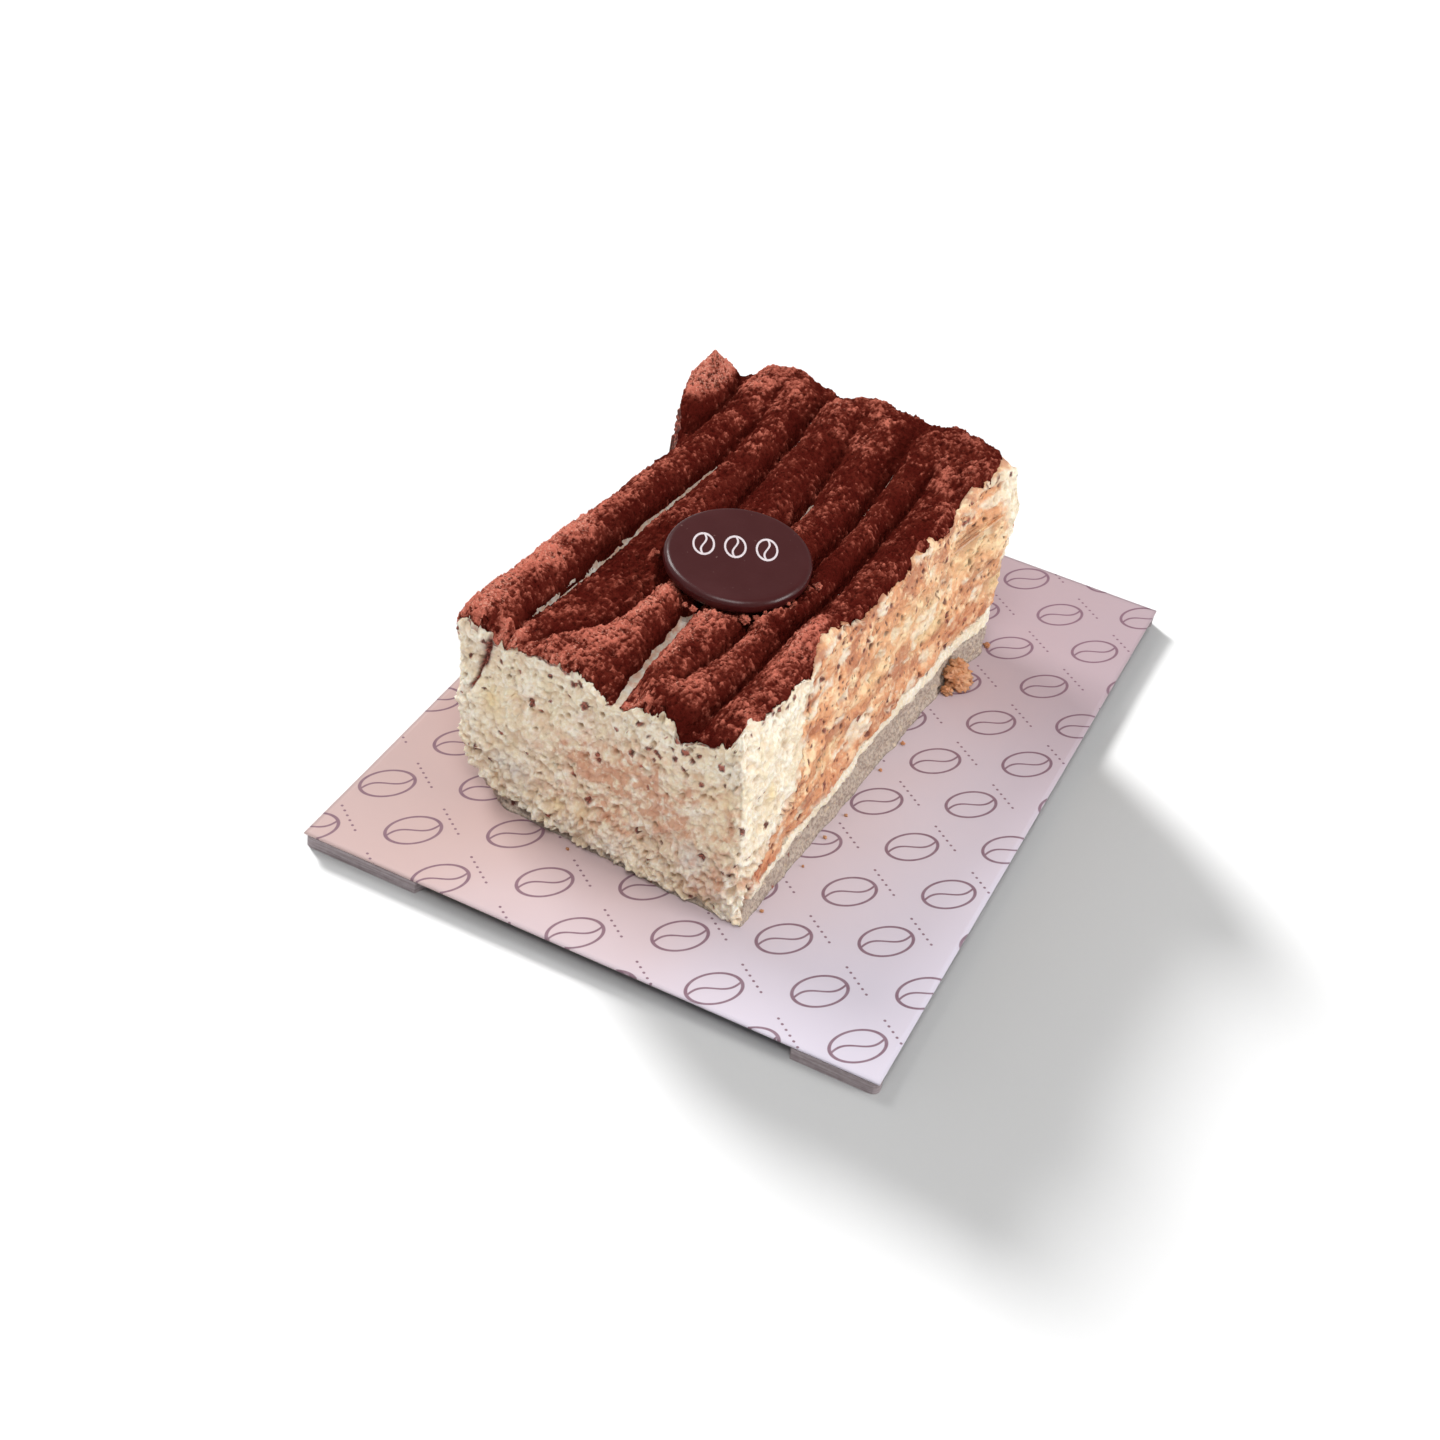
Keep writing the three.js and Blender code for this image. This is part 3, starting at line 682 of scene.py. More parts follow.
# Soft spots on the walls for each channel: place along the face, height, half sizes and strength.
Spots = tuple[tuple[float, float, float, float, float], ...]
SPOTS: dict[str, dict[Side, Spots]] = {
    "stain": {
        Side.FRONT: (
            (-33, 20.5, 3.5, 2.5, 0.7), (-30, 17, 3.0, 2.0, 0.6), (-24, 20, 4.5, 3.5, 0.5),
            (-20, 16.5, 5.0, 3.0, 0.45), (-28, 10, 6, 3.5, 0.25), (-13, 24, 3, 3, 0.35),
            (-44, 24.5, 2.2, 1.6, 0.5), (-40, 9.5, 2.5, 1.5, 0.35), (-27, 24, 4, 3, 0.3),
        ),
    },
    "rust": {
        Side.FRONT: ((-8.2, 4.2, 2.2, 1.6, 1.1), (-5.5, 8.5, 1.3, 3.0, 0.8), (-1.5, 11, 1.5, 3, 0.5)),
        Side.RIGHT: (
            (3.5, 8, 3.0, 1.2, 0.8), (9, 10.5, 4.0, 1.3, 0.7), (15, 11.5, 4, 1.2, 0.5),
            (84, 12.5, 8.0, 2.0, 0.9), (92, 15, 5, 1.5, 0.5), (18.5, 3.6, 3.0, 1.5, 0.7),
        ),
    },
    "grey": {
        Side.FRONT: (
            (-47.5, 10.0, 3.2, 2.2, 0.9), (-45.0, 9.0, 1.6, 1.6, 0.6), (-10.5, 10.0, 3.0, 2.4, 1.0),
        ),
    },
    "yellow": {
        Side.FRONT: (
            (-52.0, 22.0, 2.6, 2.4, 0.8), (-47, 25, 1.5, 1.2, 0.5), (-6.5, 24.5, 2.5, 3.0, 0.5),
            (-50, 15, 5, 4, 0.3), (-32, 8, 2, 2, 0.4), (-37, 7, 1.6, 1.2, 0.7), (-5, 17, 3, 5, 0.35),
        ),
        Side.RIGHT: (
            (10, 21.4, 1.1, 2.2, 1.3), (71, 18.4, 6, 2.2, 0.9), (96.7, 15.4, 4, 2.5, 0.9),
            (48, 22, 5, 2.0, 0.5), (30, 16, 6, 2, 0.4), (62, 26, 14, 4, 0.45), (88, 27, 9, 6, 0.5),
        ),
    },
    "specks": {
        Side.FRONT: (
            (-50, 31.3, 2.2, 1.8, 0.55), (-18.5, 27.6, 2.0, 1.5, 0.75), (-14.5, 29.0, 2.6, 2.0, 0.6),
            (-12, 31, 4, 1.5, 0.5), (-21.5, 21.5, 2.0, 1.5, 0.45), (-55.5, 10.5, 2.0, 2.0, 0.5),
            (-20, 31.5, 2.0, 1.2, 0.5),
        ),
    },
}
# Course of the crack on the left of the front face: place across and height.
CRACK = ((-52.4, 34.0), (-53.0, 30.8), (-53.5, 28.6), (-54.5, 26.4), (-55.0, 24.4), (-55.8, 22.6))


@dataclass
class CakeSurface:
    """Fine grids of the cake's walls and top, with relief and the channels that colour them."""

    form: CakeForm
    across: int
    along: int
    up: int

    def __post_init__(self) -> None:
        """Works out every grid."""
        self._place_columns()
        self._place_top()
        self._bare_top()
        self._place_walls()
        self._paint_walls()
        self._press_relief()
        self._settle_top()

    # Places ------------------------------------------------------------------------------

    def _place_columns(self) -> None:
        """Which grid crossing each column of the wall stands on, and on which side."""
        n, m = self.across, self.along
        index = np.arange((n + 1) * (m + 1)).reshape(n + 1, m + 1)
        ring = ring_of(index)
        self.ring_i, self.ring_j = ring // (m + 1), ring % (m + 1)
        self.side = np.repeat([s.value for s in Side], [n, m, n, m])

    def on(self, *sides: Side) -> Array:
        """Which columns of the walls lie on these sides."""
        return np.isin(self.side, [side.value for side in sides])[:, None]

    def edge_of(self, grid: Array) -> Array:
        """Values of one of the top's grids above each column of the walls."""
        return grid[self.ring_i, self.ring_j]

    def _edge(self, si: Array, sj: Array) -> tuple[Array, Array, Array]:
        """Settled places on the top's edge for shares across and along."""
        u, z = self.form.guess(si), np.full_like(si, TYPICAL_HEIGHT)
        for _ in range(6):
            u, v = self.form.between(u, z, si, sj)
            z = 0.5 * z + 0.5 * self.form.height(u, v)
        return u, v, z

    def _place_top(self) -> None:
        """Places and heights of the cream's top."""
        si = np.linspace(0, 1, self.across + 1)
        sj = np.linspace(0, 1, self.along + 1)
        zero_i, zero_j = np.zeros_like(si), np.zeros_like(sj)
        left, right = self._edge(zero_j, sj), self._edge(zero_j + 1, sj)
        front, back = self._edge(si, zero_i), self._edge(si, zero_i + 1)
        a, b = si[:, None], sj[None, :]
        spread = []
        for axis in (0, 1):
            lines = (1 - a) * left[axis][None] + a * right[axis][None]
            lines = lines + (1 - b) * front[axis][:, None] + b * back[axis][:, None]
            corners = (1 - a) * ((1 - b) * left[axis][0] + b * left[axis][-1])
            corners = corners + a * ((1 - b) * right[axis][0] + b * right[axis][-1])
            spread.append(lines - corners)
        u, v = spread
        z = self.form.height(u, v)
        self.top_u, self.top_v = u, v
        edge_distance = np.minimum(self.form.right(z, v) - u, v)
        ragged = self.form.noise.fractal(stack(u / 2.2, v / 2.2, 3.0), 4)
        z = z + 0.7 * ragged * np.exp(-np.clip(edge_distance, 0, None) / 1.4)
        ru, rv = self.form.rounded(u, v, z)
        self.top = stack(ru, rv, z)

    def _bare_top(self) -> None:
        """Where on the top the cocoa is missing."""
        form, u, v = self.form, self.top_u, self.top_v
        fray = Noise(61).fractal(stack(u / 1.1, v / 2.4, 0.0), 4)
        edges, floors = form.rope_edges(v), form.floor_widths(v)
        bare = np.zeros_like(u)
        for line in range(1, ROPES):
            floor = floors[..., line]
            distance = np.abs(u - edges[..., line]) - floor * (1.0 + 0.2 * fray)
            bare = np.maximum(bare, (floor > 0.08) * (1 - smoothstep(distance, -0.12, 0.16)))
        z = self.top[..., 2]
        from_front = v - form.front(z, u)
        from_right = form.right(z, v) - u
        coarse = Noise(62).fractal(stack(u / 2.6, v / 2.6, 1.0), 4)
        front_band = 0.1 + 0.55 * coarse + 0.35 * fray
        right_band = 0.15 + 0.8 * coarse + 0.4 * fray
        right_band = right_band + 1.9 * bump(v, 31, 6) + 0.9 * bump(v, 66, 4) + 0.8 * bump(v, 98, 3)
        right_band = right_band + 1.3 * bump(v, 83, 4) + 0.6 * bump(v, 48, 3) + 2.3 * smoothstep(v, 90, 97)
        bare = np.maximum(bare, 1 - smoothstep(from_front - front_band, -0.2, 0.15))
        bare = np.maximum(bare, 1 - smoothstep(from_right - right_band, -0.2, 0.15))
        lump = smoothstep(form.lump(u, v) + 1.2 * coarse + 0.8 * fray, 35.0, 35.6)
        self.bare = np.clip(np.maximum(bare, lump), 0, 1)

    def _place_walls(self) -> None:
        """Places of the walls before any relief."""
        z = self.edge_of(self.top)[:, 2:] * np.linspace(0, 1, self.up + 1)
        si = np.broadcast_to((self.ring_i / self.across)[:, None], z.shape)
        sj = np.broadcast_to((self.ring_j / self.along)[:, None], z.shape)
        u = self.form.guess(si)
        for _ in range(5):
            u, v = self.form.between(u, z, si, sj)
        u, v = self.form.rounded(u, v, z)
        self.wall = stack(u, v, z)
        self.wall[:, -1] = self.edge_of(self.top)
        ahead, behind = np.roll(self.wall, -1, 0), np.roll(self.wall, 1, 0)
        upward = np.gradient(self.wall, axis=1)
        normal = np.cross(ahead - behind, upward)
        normal /= np.linalg.norm(normal, axis=-1, keepdims=True)
        for _ in range(6):
            normal = normal + np.roll(normal, 1, 0) + np.roll(normal, -1, 0)
            normal /= np.linalg.norm(normal, axis=-1, keepdims=True)
        self.normal = normal

    # Layers ------------------------------------------------------------------------------

    def _paint_walls(self) -> None:
        """Where each layer lies on the walls and what stains it."""
        u, v, z = (self.wall[..., k] for k in range(3))
        on_right = self.on(Side.RIGHT)
        coarse, fine = Noise(11), Noise(12)
        wander = coarse.fractal(self.wall / 5.0, 4)
        detail = fine.fractal(self.wall / 1.6, 3)

        base_top = along_points(v, ((2, 4.1), (17, 5.0), (38, 6.1), (61, 7.0), (78, 5.7), (98, 6.5)))
        base_top = np.where(on_right, base_top, 6.0) + 0.3 * wander + 0.12 * detail
        stripe = along_points(v, ((2, 1.6), (14, 1.8), (32, 2.3), (60, 2.9), (98, 2.9)))
        stripe = np.where(on_right, stripe, 2.6)
        foot = along_points(u, ((-60, 2.4), (-50, 2.2), (-40, 1.9), (-33, 1.1), (-20, 0.7), (0, 0.5)))
        teeth = 0.7 * fine.fractal(stack(u / 1.3, v / 1.3, 9.0), 3)
        foot = np.maximum(foot + teeth, 0.25)
        near_front = 1 - smoothstep(v, 0.6, 3.0)
        self.base_top = lerp(base_top, foot, near_front)
        self.stripe_top = lerp(base_top + stripe, foot, 1 - smoothstep(v, 1.0, 4.5))
        wedge = ((0, 0.0), (2.4, 0.0), (2.7, 7.0), (8, 10), (17, 14), (22, 22), (24, 32.4), (25, 32.5))
        self.sponge_top = np.where(v > 2.5, along_points(v, wedge), 0.0)

        self.base = 1 - smoothstep(z - self.base_top, -0.15, 0.15)
        cream_edge = along_points(
            z, ((0, 3), (6, 4), (8.3, 6.3), (11.9, 11.5), (13, 17), (22.5, 20.7), (29.7, 21.4), (34, 23))
        )
        sponge = smoothstep(v - cream_edge + 3.0 * wander + 1.5 * detail, -0.9, 0.9)
        sponge = sponge * smoothstep(z - self.stripe_top + 0.15 * detail, -0.15, 0.35)
        crown = np.where(on_right, 40.0, 32.4) + 1.6 * wander
        patches = coarse.fractal(self.wall / np.array([4.0, 5.0, 2.6]) + 31, 4)
        sponge_right = sponge * (1 - 0.8 * smoothstep(patches, 0.32, 0.62))
        sponge_right = sponge_right * (1 - smoothstep(z - crown, -1.2, 1.0))
        corner = smoothstep(v + 0.25 * (z - 30) + 1.5 * wander, 94.5, 97.5) * smoothstep(z, 17, 21)
        sponge_right = sponge_right * (1 - corner)
        sponge_other = sponge * (1 - smoothstep(z - crown, -0.5, 0.5))
        sponge = np.where(on_right, sponge_right, sponge_other)
        self.sponge = np.where(self.on(Side.FRONT), 0, sponge) * (1 - self.base)
        self._stain_walls(wander, detail)

    def _spots(self, channel: str) -> Array:
        """Sum of a channel's soft spots on the walls."""
        u, v, z = (self.wall[..., k] for k in range(3))
        total = np.zeros_like(z)
        for side, table in SPOTS[channel].items():
            face = u if side is Side.FRONT else v
            for place, height, wide, tall, strength in table:
                distance = ((face - place) / wide) ** 2 + ((z - height) / tall) ** 2
                total += self.on(side) * strength * np.exp(-distance)
        return total

    def _stain_walls(self, wander: Array, detail: Array) -> None:
        """Coffee stains, grey froth, yellow patches and cocoa on the walls, with painted shade in the crack.

        Args:
            wander: Broad noise over the walls.
            detail: Fine noise over the walls.
        """
        u, v, z = (self.wall[..., k] for k in range(3))
        on_front, on_right = self.on(Side.FRONT), self.on(Side.RIGHT)
        low = bump(z - self.stripe_top, 1.5, 3.0) * (1 - 0.7 * smoothstep(v, 40, 70))
        band = bump(z - self.stripe_top - 0.7 - 0.3 * wander, 0, 0.55) * (1 - 0.75 * smoothstep(v, 20, 50))
        rust = self._spots("rust") + on_right * (0.42 * low * (0.9 + 0.9 * wander) * self.sponge + band)
        peach = 0.62 * bump(u, -24, 15) * bump(z, 18, 10) + 0.35 * bump(u, -8, 9) * bump(z, 14, 12)
        stain = self._spots("stain") + on_front * peach * (0.8 + 0.7 * wander)
        rough = 0.75 + 0.6 * detail
        self.stain = np.clip(stain * rough * 1.2, 0, 1)
        self.rust = np.clip(rust * rough, 0, 1)
        self.grey = np.clip(self._spots("grey") * (0.8 + 0.4 * detail), 0, 1)
        self.yellow = np.clip(self._spots("yellow") * (0.85 + 0.4 * wander), 0, 1)

        depth = self.wall[:, -1:, 2] - z
        amount = 0.05 + 0.32 * np.exp(-depth / 1.6) + 0.10 * np.exp(-depth / 7)
        amount = np.where(on_front, amount + self._spots("specks"), 0.6 * amount)
        distance, number = Noise(21).cells(self.wall / 1.4)
        radius = 0.2 + 0.38 * ((number * 57.3) % 1)
        speck = (number < amount) * (1 - smoothstep(distance + 0.12 * detail, radius * 0.8, radius * 1.15))
        crack = self._crack_distance(u, z) + 0.2 * detail
        opening = lerp(0.22, 0.7, smoothstep(z, 24, 33))
        self.crack = on_front * np.exp(-((crack / opening) ** 2))
        covered = 1 - self.edge_of(self.bare)[:, None]
        drip_height = np.where(self.on(Side.BACK, Side.LEFT), 1.8, 0.15) + 0.5 * wander + 0.5 * detail
        on_tail = self.form.tail_window(v) * self.on(Side.LEFT)
        drip_height = np.maximum(drip_height + 10.0 * on_tail, 0.12) * covered - 0.3 * (1 - covered)
        drip = 1 - smoothstep(depth - drip_height, -0.2, 0.25)
        # Cocoa specks and drips, and the crack painted dark in cocoa colour as the shade in its gap.
        self.cocoa = np.clip(np.maximum(np.maximum(speck * 0.95, drip), 1.3 * self.crack**0.7), 0, 1)

    def _crack_distance(self, u: Array, z: Array) -> Array:
        """Distance to the crack on the left of the front face."""
        best = np.full_like(u, np.inf)
        for (au, az), (bu, bz) in zip(CRACK[:-1], CRACK[1:]):
            du, dz = bu - au, bz - az
            t = np.clip(((u - au) * du + (z - az) * dz) / (du * du + dz * dz), 0, 1)
            best = np.minimum(best, np.hypot(u - au - t * du, z - az - t * dz))
        return best

    # Relief ------------------------------------------------------------------------------

    def froth(self, p: Array) -> tuple[Array, Array, Array]:
        """Relief of torn cream, its holes, and how far each place sits in a hollow, which the finish paints
        as shade.
        """
        lumps = 0.26 * Noise(31).domes(p / 1.8) + 0.16 * Noise(32).domes(p / 0.85)
        warp = Noise(33).fractal(p / 3.0, 2)[..., None]
        strands = 0.45 * (1 - np.abs(Noise(34).fractal(p / 2.3 + 0.4 * warp, 3)) * 1.8)
        rough = 0.2 * Noise(37).fractal(p / 0.9, 2)
        holes = Noise(35).pits(p / 2.2, 0.8, 0.12, 0.32)
        pinholes = Noise(38).pits(p / 1.1, 0.9, 0.16, 0.34)
        torn = 1 + 0.8 * (1 - smoothstep(p[..., 2], 7, 15))
        detail = (lumps + strands + rough - 0.5) * torn - 0.9 * holes - 0.35 * pinholes
        broad = 0.75 * Noise(36).fractal(p / 6.5, 3)
        return broad + detail, np.maximum(holes, 0.6 * pinholes), 1 - smoothstep(detail, -0.75, 0.05)

    def crumb(self, p: Array) -> tuple[Array, Array, Array]:
        """Relief of soaked sponge, its holes, and how far each place sits in a hollow, which the finish
        paints as shade.
        """
        broad = Noise(41).fractal(p / 8.0, 3)
        streaks = Noise(42).fractal(p / np.array([2.0, 6.5, 1.5]), 3)
        rough = Noise(43).fractal(p / 1.3, 3)
        large = Noise(44).pits(p / 2.2, 1.0, 0.18, 0.38)
        small = Noise(45).pits(p / 1.25, 1.0, 0.2, 0.38)
        holes = np.maximum(large, 0.85 * small)
        detail = 0.26 * streaks + 0.30 * rough - 0.75 * large - 0.3 * small
        return 0.55 * broad + detail, holes, 1 - smoothstep(detail, -0.9, 0.15)

    def _press_relief(self) -> None:
        """Moves the walls along their normals."""
        z = self.wall[..., 2]
        froth, froth_holes, froth_deep = self.froth(self.wall)
        crumb, crumb_holes, crumb_deep = self.crumb(self.wall)
        gritty = 0.28 * Noise(51).domes(self.wall / 0.8) + 0.45 * Noise(52).fractal(self.wall / 2.2, 3)
        mix = np.clip(self.sponge, 0, 1)
        in_stripe = smoothstep(z - self.base_top, -0.2, 0.2)
        in_stripe = in_stripe * (1 - smoothstep(z - self.stripe_top, -0.1, 0.3))
        froth = froth * (1 - 0.75 * in_stripe * ~self.on(Side.FRONT))
        lift = lerp(froth, crumb, mix)
        lift = lerp(lift, gritty - 0.2, self.base)
        dust = 0.4 * Noise(71).domes(self.wall / 0.8) + 0.35 * Noise(72).fractal(self.wall / 2.0, 4)
        powdery = self.cocoa * self.on(Side.BACK, Side.LEFT)
        lift = lift - np.where(self.on(Side.FRONT), 1.5, 0.35) * self.base - self.crack
        # Pore and hollow shares that the finish paints as shade; the stripe gets less of both.
        calm = 1 - 0.9 * in_stripe
        self.pore = calm * np.clip(lerp(0.8 * froth_holes, crumb_holes, mix) * (1 - self.base), 0, 1)
        self.hollow_shade = calm * lerp(froth_deep, crumb_deep, mix) * (1 - self.base)
        near_top = smoothstep(z - self.wall[:, -1:, 2], -4, -0.5) * (1 - self.edge_of(self.bare)[:, None])
        near_top = near_top * np.where(self.on(Side.BACK, Side.LEFT), 0.85, 0.45)
        lift = lift * smoothstep(z, -0.4, 0.7) * (1 - near_top) + powdery * dust
        self.wall = self.wall + self.normal * lift[..., None]
        self.wall[..., 2] = np.maximum(self.wall[..., 2], 0.02)

    def _settle_top(self) -> None:
        """Takes the walls' shift at the top's edge into the top, fading inwards."""
        shift = self.wall[:, -1] - self.edge_of(self.top)
        shift[:, 2] = 0
        n, m = self.across, self.along
        edges = np.split(shift, np.cumsum([n, m, n]))
        front, right, back, left = (
            np.concatenate([edge, after[:1]]) for edge, after in zip(edges, edges[1:] + edges[:1])
        )
        fade_i = np.exp(-np.arange(n + 1) * 0.25 / 0.9)[:, None, None]
        fade_j = np.exp(-np.arange(m + 1) * 0.31 / 0.9)[None, :, None]
        spread = front[:, None] * fade_j + back[::-1][:, None] * fade_j[:, ::-1]
        spread += left[::-1][None] * fade_i + right[None] * fade_i[::-1]
        self.top = self.top + spread
        self.wall[:, -1, 2] = self.edge_of(self.top)[:, 2]
        self.top[self.ring_i, self.ring_j] = self.wall[:, -1]

    # Channels ----------------------------------------------------------------------------

    def wall_channels(self) -> dict[str, Array]:
        """The walls' colour channels, four to an attribute."""
        return {
            "layers": stack(self.sponge, self.base, self.pore, self.cocoa),
            "stains": stack(self.stain, self.rust, self.grey, self.yellow),
            "depths": self.hollow_shade,
        }

    def rows_below(self, height: Array) -> Array:
        """For each column, how many rows of cells lie below a height given for every point."""
        z = self.wall[..., 2]
        centre = (z[:, :-1] + z[:, 1:]) / 2
        return (centre < height[:, :-1]).sum(axis=1)


@dataclass
class Layer:
    """One layer's share of the walls, closed inside the cake."""

    name: str
    node: str
    slot: str
    low: Array
    high: Array
    tips: tuple[Triple, Triple]

    def fill(self, shell: Shell, surface: CakeSurface, open_top: bool) -> Array:
        """Adds the layer's walls and the faces that close them.

        Args:
            shell: Body that takes them.
            surface: The cake's grids.
            open_top: Whether the walls end at the cake's top, which another call closes.

        Returns:
            Point indices of the wall, column by row.
        """
        index = shell.add_grid(surface.wall, **surface.wall_channels())
        row = np.arange(index.shape[1] - 1)[None]
        taken = (row >= self.low[:, None]) & (row < self.high[:, None])
        after = np.roll(index, -1, axis=0)
        a, b = index[:, :-1][taken], after[:, :-1][taken]
        c, d = after[:, 1:][taken], index[:, 1:][taken]
        walls = quads(a, b, c, d)
        shell.add_triangles(walls)
        edges = np.concatenate([walls[:, [0, 1]], walls[:, [1, 2]], walls[:, [2, 0]]])
        forward, backward = edges @ (shell.count, 1), edges @ (1, shell.count)
        border = edges[~np.isin(forward, backward)]
        if open_top:
            border = border[~np.isin(border, index[:, -1]).all(axis=1)]
        self._close(shell, border, index)
        return index

    def _close(self, shell: Shell, border: Array, index: Array) -> None:
        """Closes the border with fans to the two inner points.

        Args:
            shell: Body that takes the faces.
            border: Border edges, as indices of points.
            index: Point indices of the wall, column by row.
        """
        empty = np.zeros((2, 4))
        first = shell.add_points(np.array(self.tips), layers=empty, stains=empty, depths=np.zeros(2))
        low = np.maximum(self.low, np.roll(self.low, 1))
        column, row = np.divmod(border - index[0, 0], index.shape[1])
        tips = (first + (row > low[column]).any(axis=1)).tolist()
        edges = [(p, q, tip) for (p, q), tip in zip(border.tolist(), tips)]
        fans = [(q, p, tip) for p, q, tip in edges]
        tips_from: dict[int, list[int]] = {}
        for p, _, tip in edges:
            tips_from.setdefault(p, []).append(tip)
        for _, q, tip in edges:
            following = tips_from.get(q, [tip])
            if tip not in following:
                fans.append((q, tip, following[0]))
        shell.add_triangles(np.array(fans), hidden=True)


@dataclass
class Cake:
    """The cake's layers and its cocoa."""

    form: CakeForm
    surface: CakeSurface
    lid_step: int = 4

    def layers(self) -> list[Layer]:
        """The layers from the bottom up: base sponge, cream stripe, soaked sponge and piped cream."""
        surface, slots = self.surface, ("base_sponge", "cream", "soaked_sponge", "cream")
        ends = [np.zeros(len(surface.wall), int)]
        for top in (surface.base_top, surface.stripe_top, surface.sponge_top):
            ends.append(np.maximum(surface.rows_below(top), np.maximum(ends[-1], 1)))
        ends.append(np.full_like(ends[0], surface.wall.shape[1] - 1))
        names = ("base_sponge_crumb", "cream_stripe", "soaked_sponge_crumb", "cream_piped")
        nodes = ("base_sponge", "cream_lower", "sponge_middle", "cream_top")
        tips = (
            ((-28, 50, 0.02), (-28, 50, 5.0)),
            ((-28, 5.0, 6.2), (-28, 5.5, 8.0)),
            ((-28, 3.5, 8.8), (-28, 25.0, 32.2)),
            ((-28, 3.0, 8.5), (-28, 24.7, 32.5)),
        )
        return [Layer(*row) for row in zip(names, nodes, slots, ends, ends[1:], tips)]

    def closed_layer(self, layer: Layer) -> bpy.types.Object:
        """Piece of a layer that other layers cover."""
        shell = Shell()
        layer.fill(shell, self.surface, open_top=False)
        return self._finish(shell, layer)

    def cream_top(self, layer: Layer) -> bpy.types.Object:
        """Piece of the cream, which the piped top closes."""
        surface, shell = self.surface, Shell()
        index = layer.fill(shell, surface, open_top=True)
        top = surface.top
        zero = np.zeros_like(top[..., 0])
        from_right = surface.form.right(TYPICAL_HEIGHT, surface.top_v) - surface.top_u
        edge = np.minimum(from_right, surface.top_v)
        smear = smoothstep(edge, 1.5, 4.0)
        froth, _, hollow_shade = surface.froth(top)
        sponge = 0.9 * smoothstep(surface.top_v, 17, 25) * (1 - smoothstep(from_right, 3, 5))
        pore = Noise(44).pits(top / 2.4, 0.6, 0.14, 0.32) * sponge
        top = top.copy()
        lift = (0.6 * froth - 0.8 * pore) * (1 - smear) - 0.35 * (1 - surface.bare)
        top[..., 2] += lift * smoothstep(edge, 0.1, 0.8)
        stains = stack(0.45 * smear, zero, 0.55 * smear, zero)
        layers = stack(sponge, zero, pore, zero)
        grid = shell.add_grid(top, layers=layers, stains=stains, depths=hollow_shade * (1 - smear))
        shell.add_triangles(coarse_lid(grid, index[:, -1], self.lid_step // 2))
        return self._finish(shell, layer)

    def _finish(self, shell: Shell, layer: Layer) -> bpy.types.Object:
        """Mesh of a layer, riding on the frame in place of its solid."""
        piece = shell.make(layer.name, self.form)
        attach(piece, "root")
        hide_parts(layer.node)
        return piece

    # Cocoa -------------------------------------------------------------------------------

    def painted_light(self) -> Array:
        """Painted light and shade on the cocoa: high on crests, left-facing slopes, the front, the back
        bulbs, the left rim and the tail's top, low in grooves and on right-facing slopes.
        """
        surface = self.surface
        u, v, z = (surface.top[..., k] for k in range(3))
        crest = np.clip((z - surface.form.groove_height(u, v)) / 4.6, 0, 1) ** 1.2
        slope = np.gradient(z, axis=0) / np.gradient(u, axis=0)
        # Slopes that face the left get the most painted light.
        left_facing = 0.5 + 0.5 * np.tanh(1.3 * slope)
        front = (1 - smoothstep(v, 26, 42)) * (1 - 0.42 * smoothstep(u, -32, -20))
        along = 0.2 + 0.85 * front + 0.8 * smoothstep(v, 82, 93)
        along = along + 0.45 * bump(u, -57.5, 4) * smoothstep(v, 20, 40) * (1 - smoothstep(v, 62, 80))
        uneven = 0.3 * Noise(77).fractal(stack(u / 5, v / 5, z / 5), 3)
        front = (1 - smoothstep(v, 3, 8)) * (1 - smoothstep(u, -22, -18))
        crest = np.maximum(crest, 0.75 * front)
        # Less painted light on a patch of the second rope.
        dimmed = 1 - 0.75 * bump(u, -45.5, 4.6) * smoothstep(v, 9, 14) * (1 - smoothstep(v, 34, 44))
        lit = dimmed * (crest * along * (0.4 + 0.85 * left_facing) + uneven * crest)
        # Painted light on the tail's top.
        lit = np.maximum(lit, smoothstep(z, 37.5, 41.0) * (u < -57.5) * smoothstep(v, 74, 80))
        return np.clip(lit, 0, 1)

    def powder(self) -> Array:
        """Fine relief of the cocoa."""
        surface = self.surface
        u, v = surface.top_u, surface.top_v
        z = surface.top[..., 2]
        p = stack(u, v, z)
        grains = 0.46 * Noise(71).domes(p / 0.75) + 0.3 * Noise(76).fractal(p / 0.6, 2)
        clumps = 0.32 * Noise(72).fractal(p / 2.4, 4)
        hairs = 0.26 * Noise(73).fractal(p / np.array([2.8, 0.75, 2.8]), 3)
        runs = 0.16 * Noise(74).fractal(p / np.array([0.9, 7.0, 0.9]), 3)
        pits = 0.6 * Noise(75).pits(p / 3.6, 0.3, 0.1, 0.24)
        dust = np.random.default_rng(78).normal(0, 0.045, u.shape)
        return grains + clumps + hairs + runs + dust - pits - 0.22

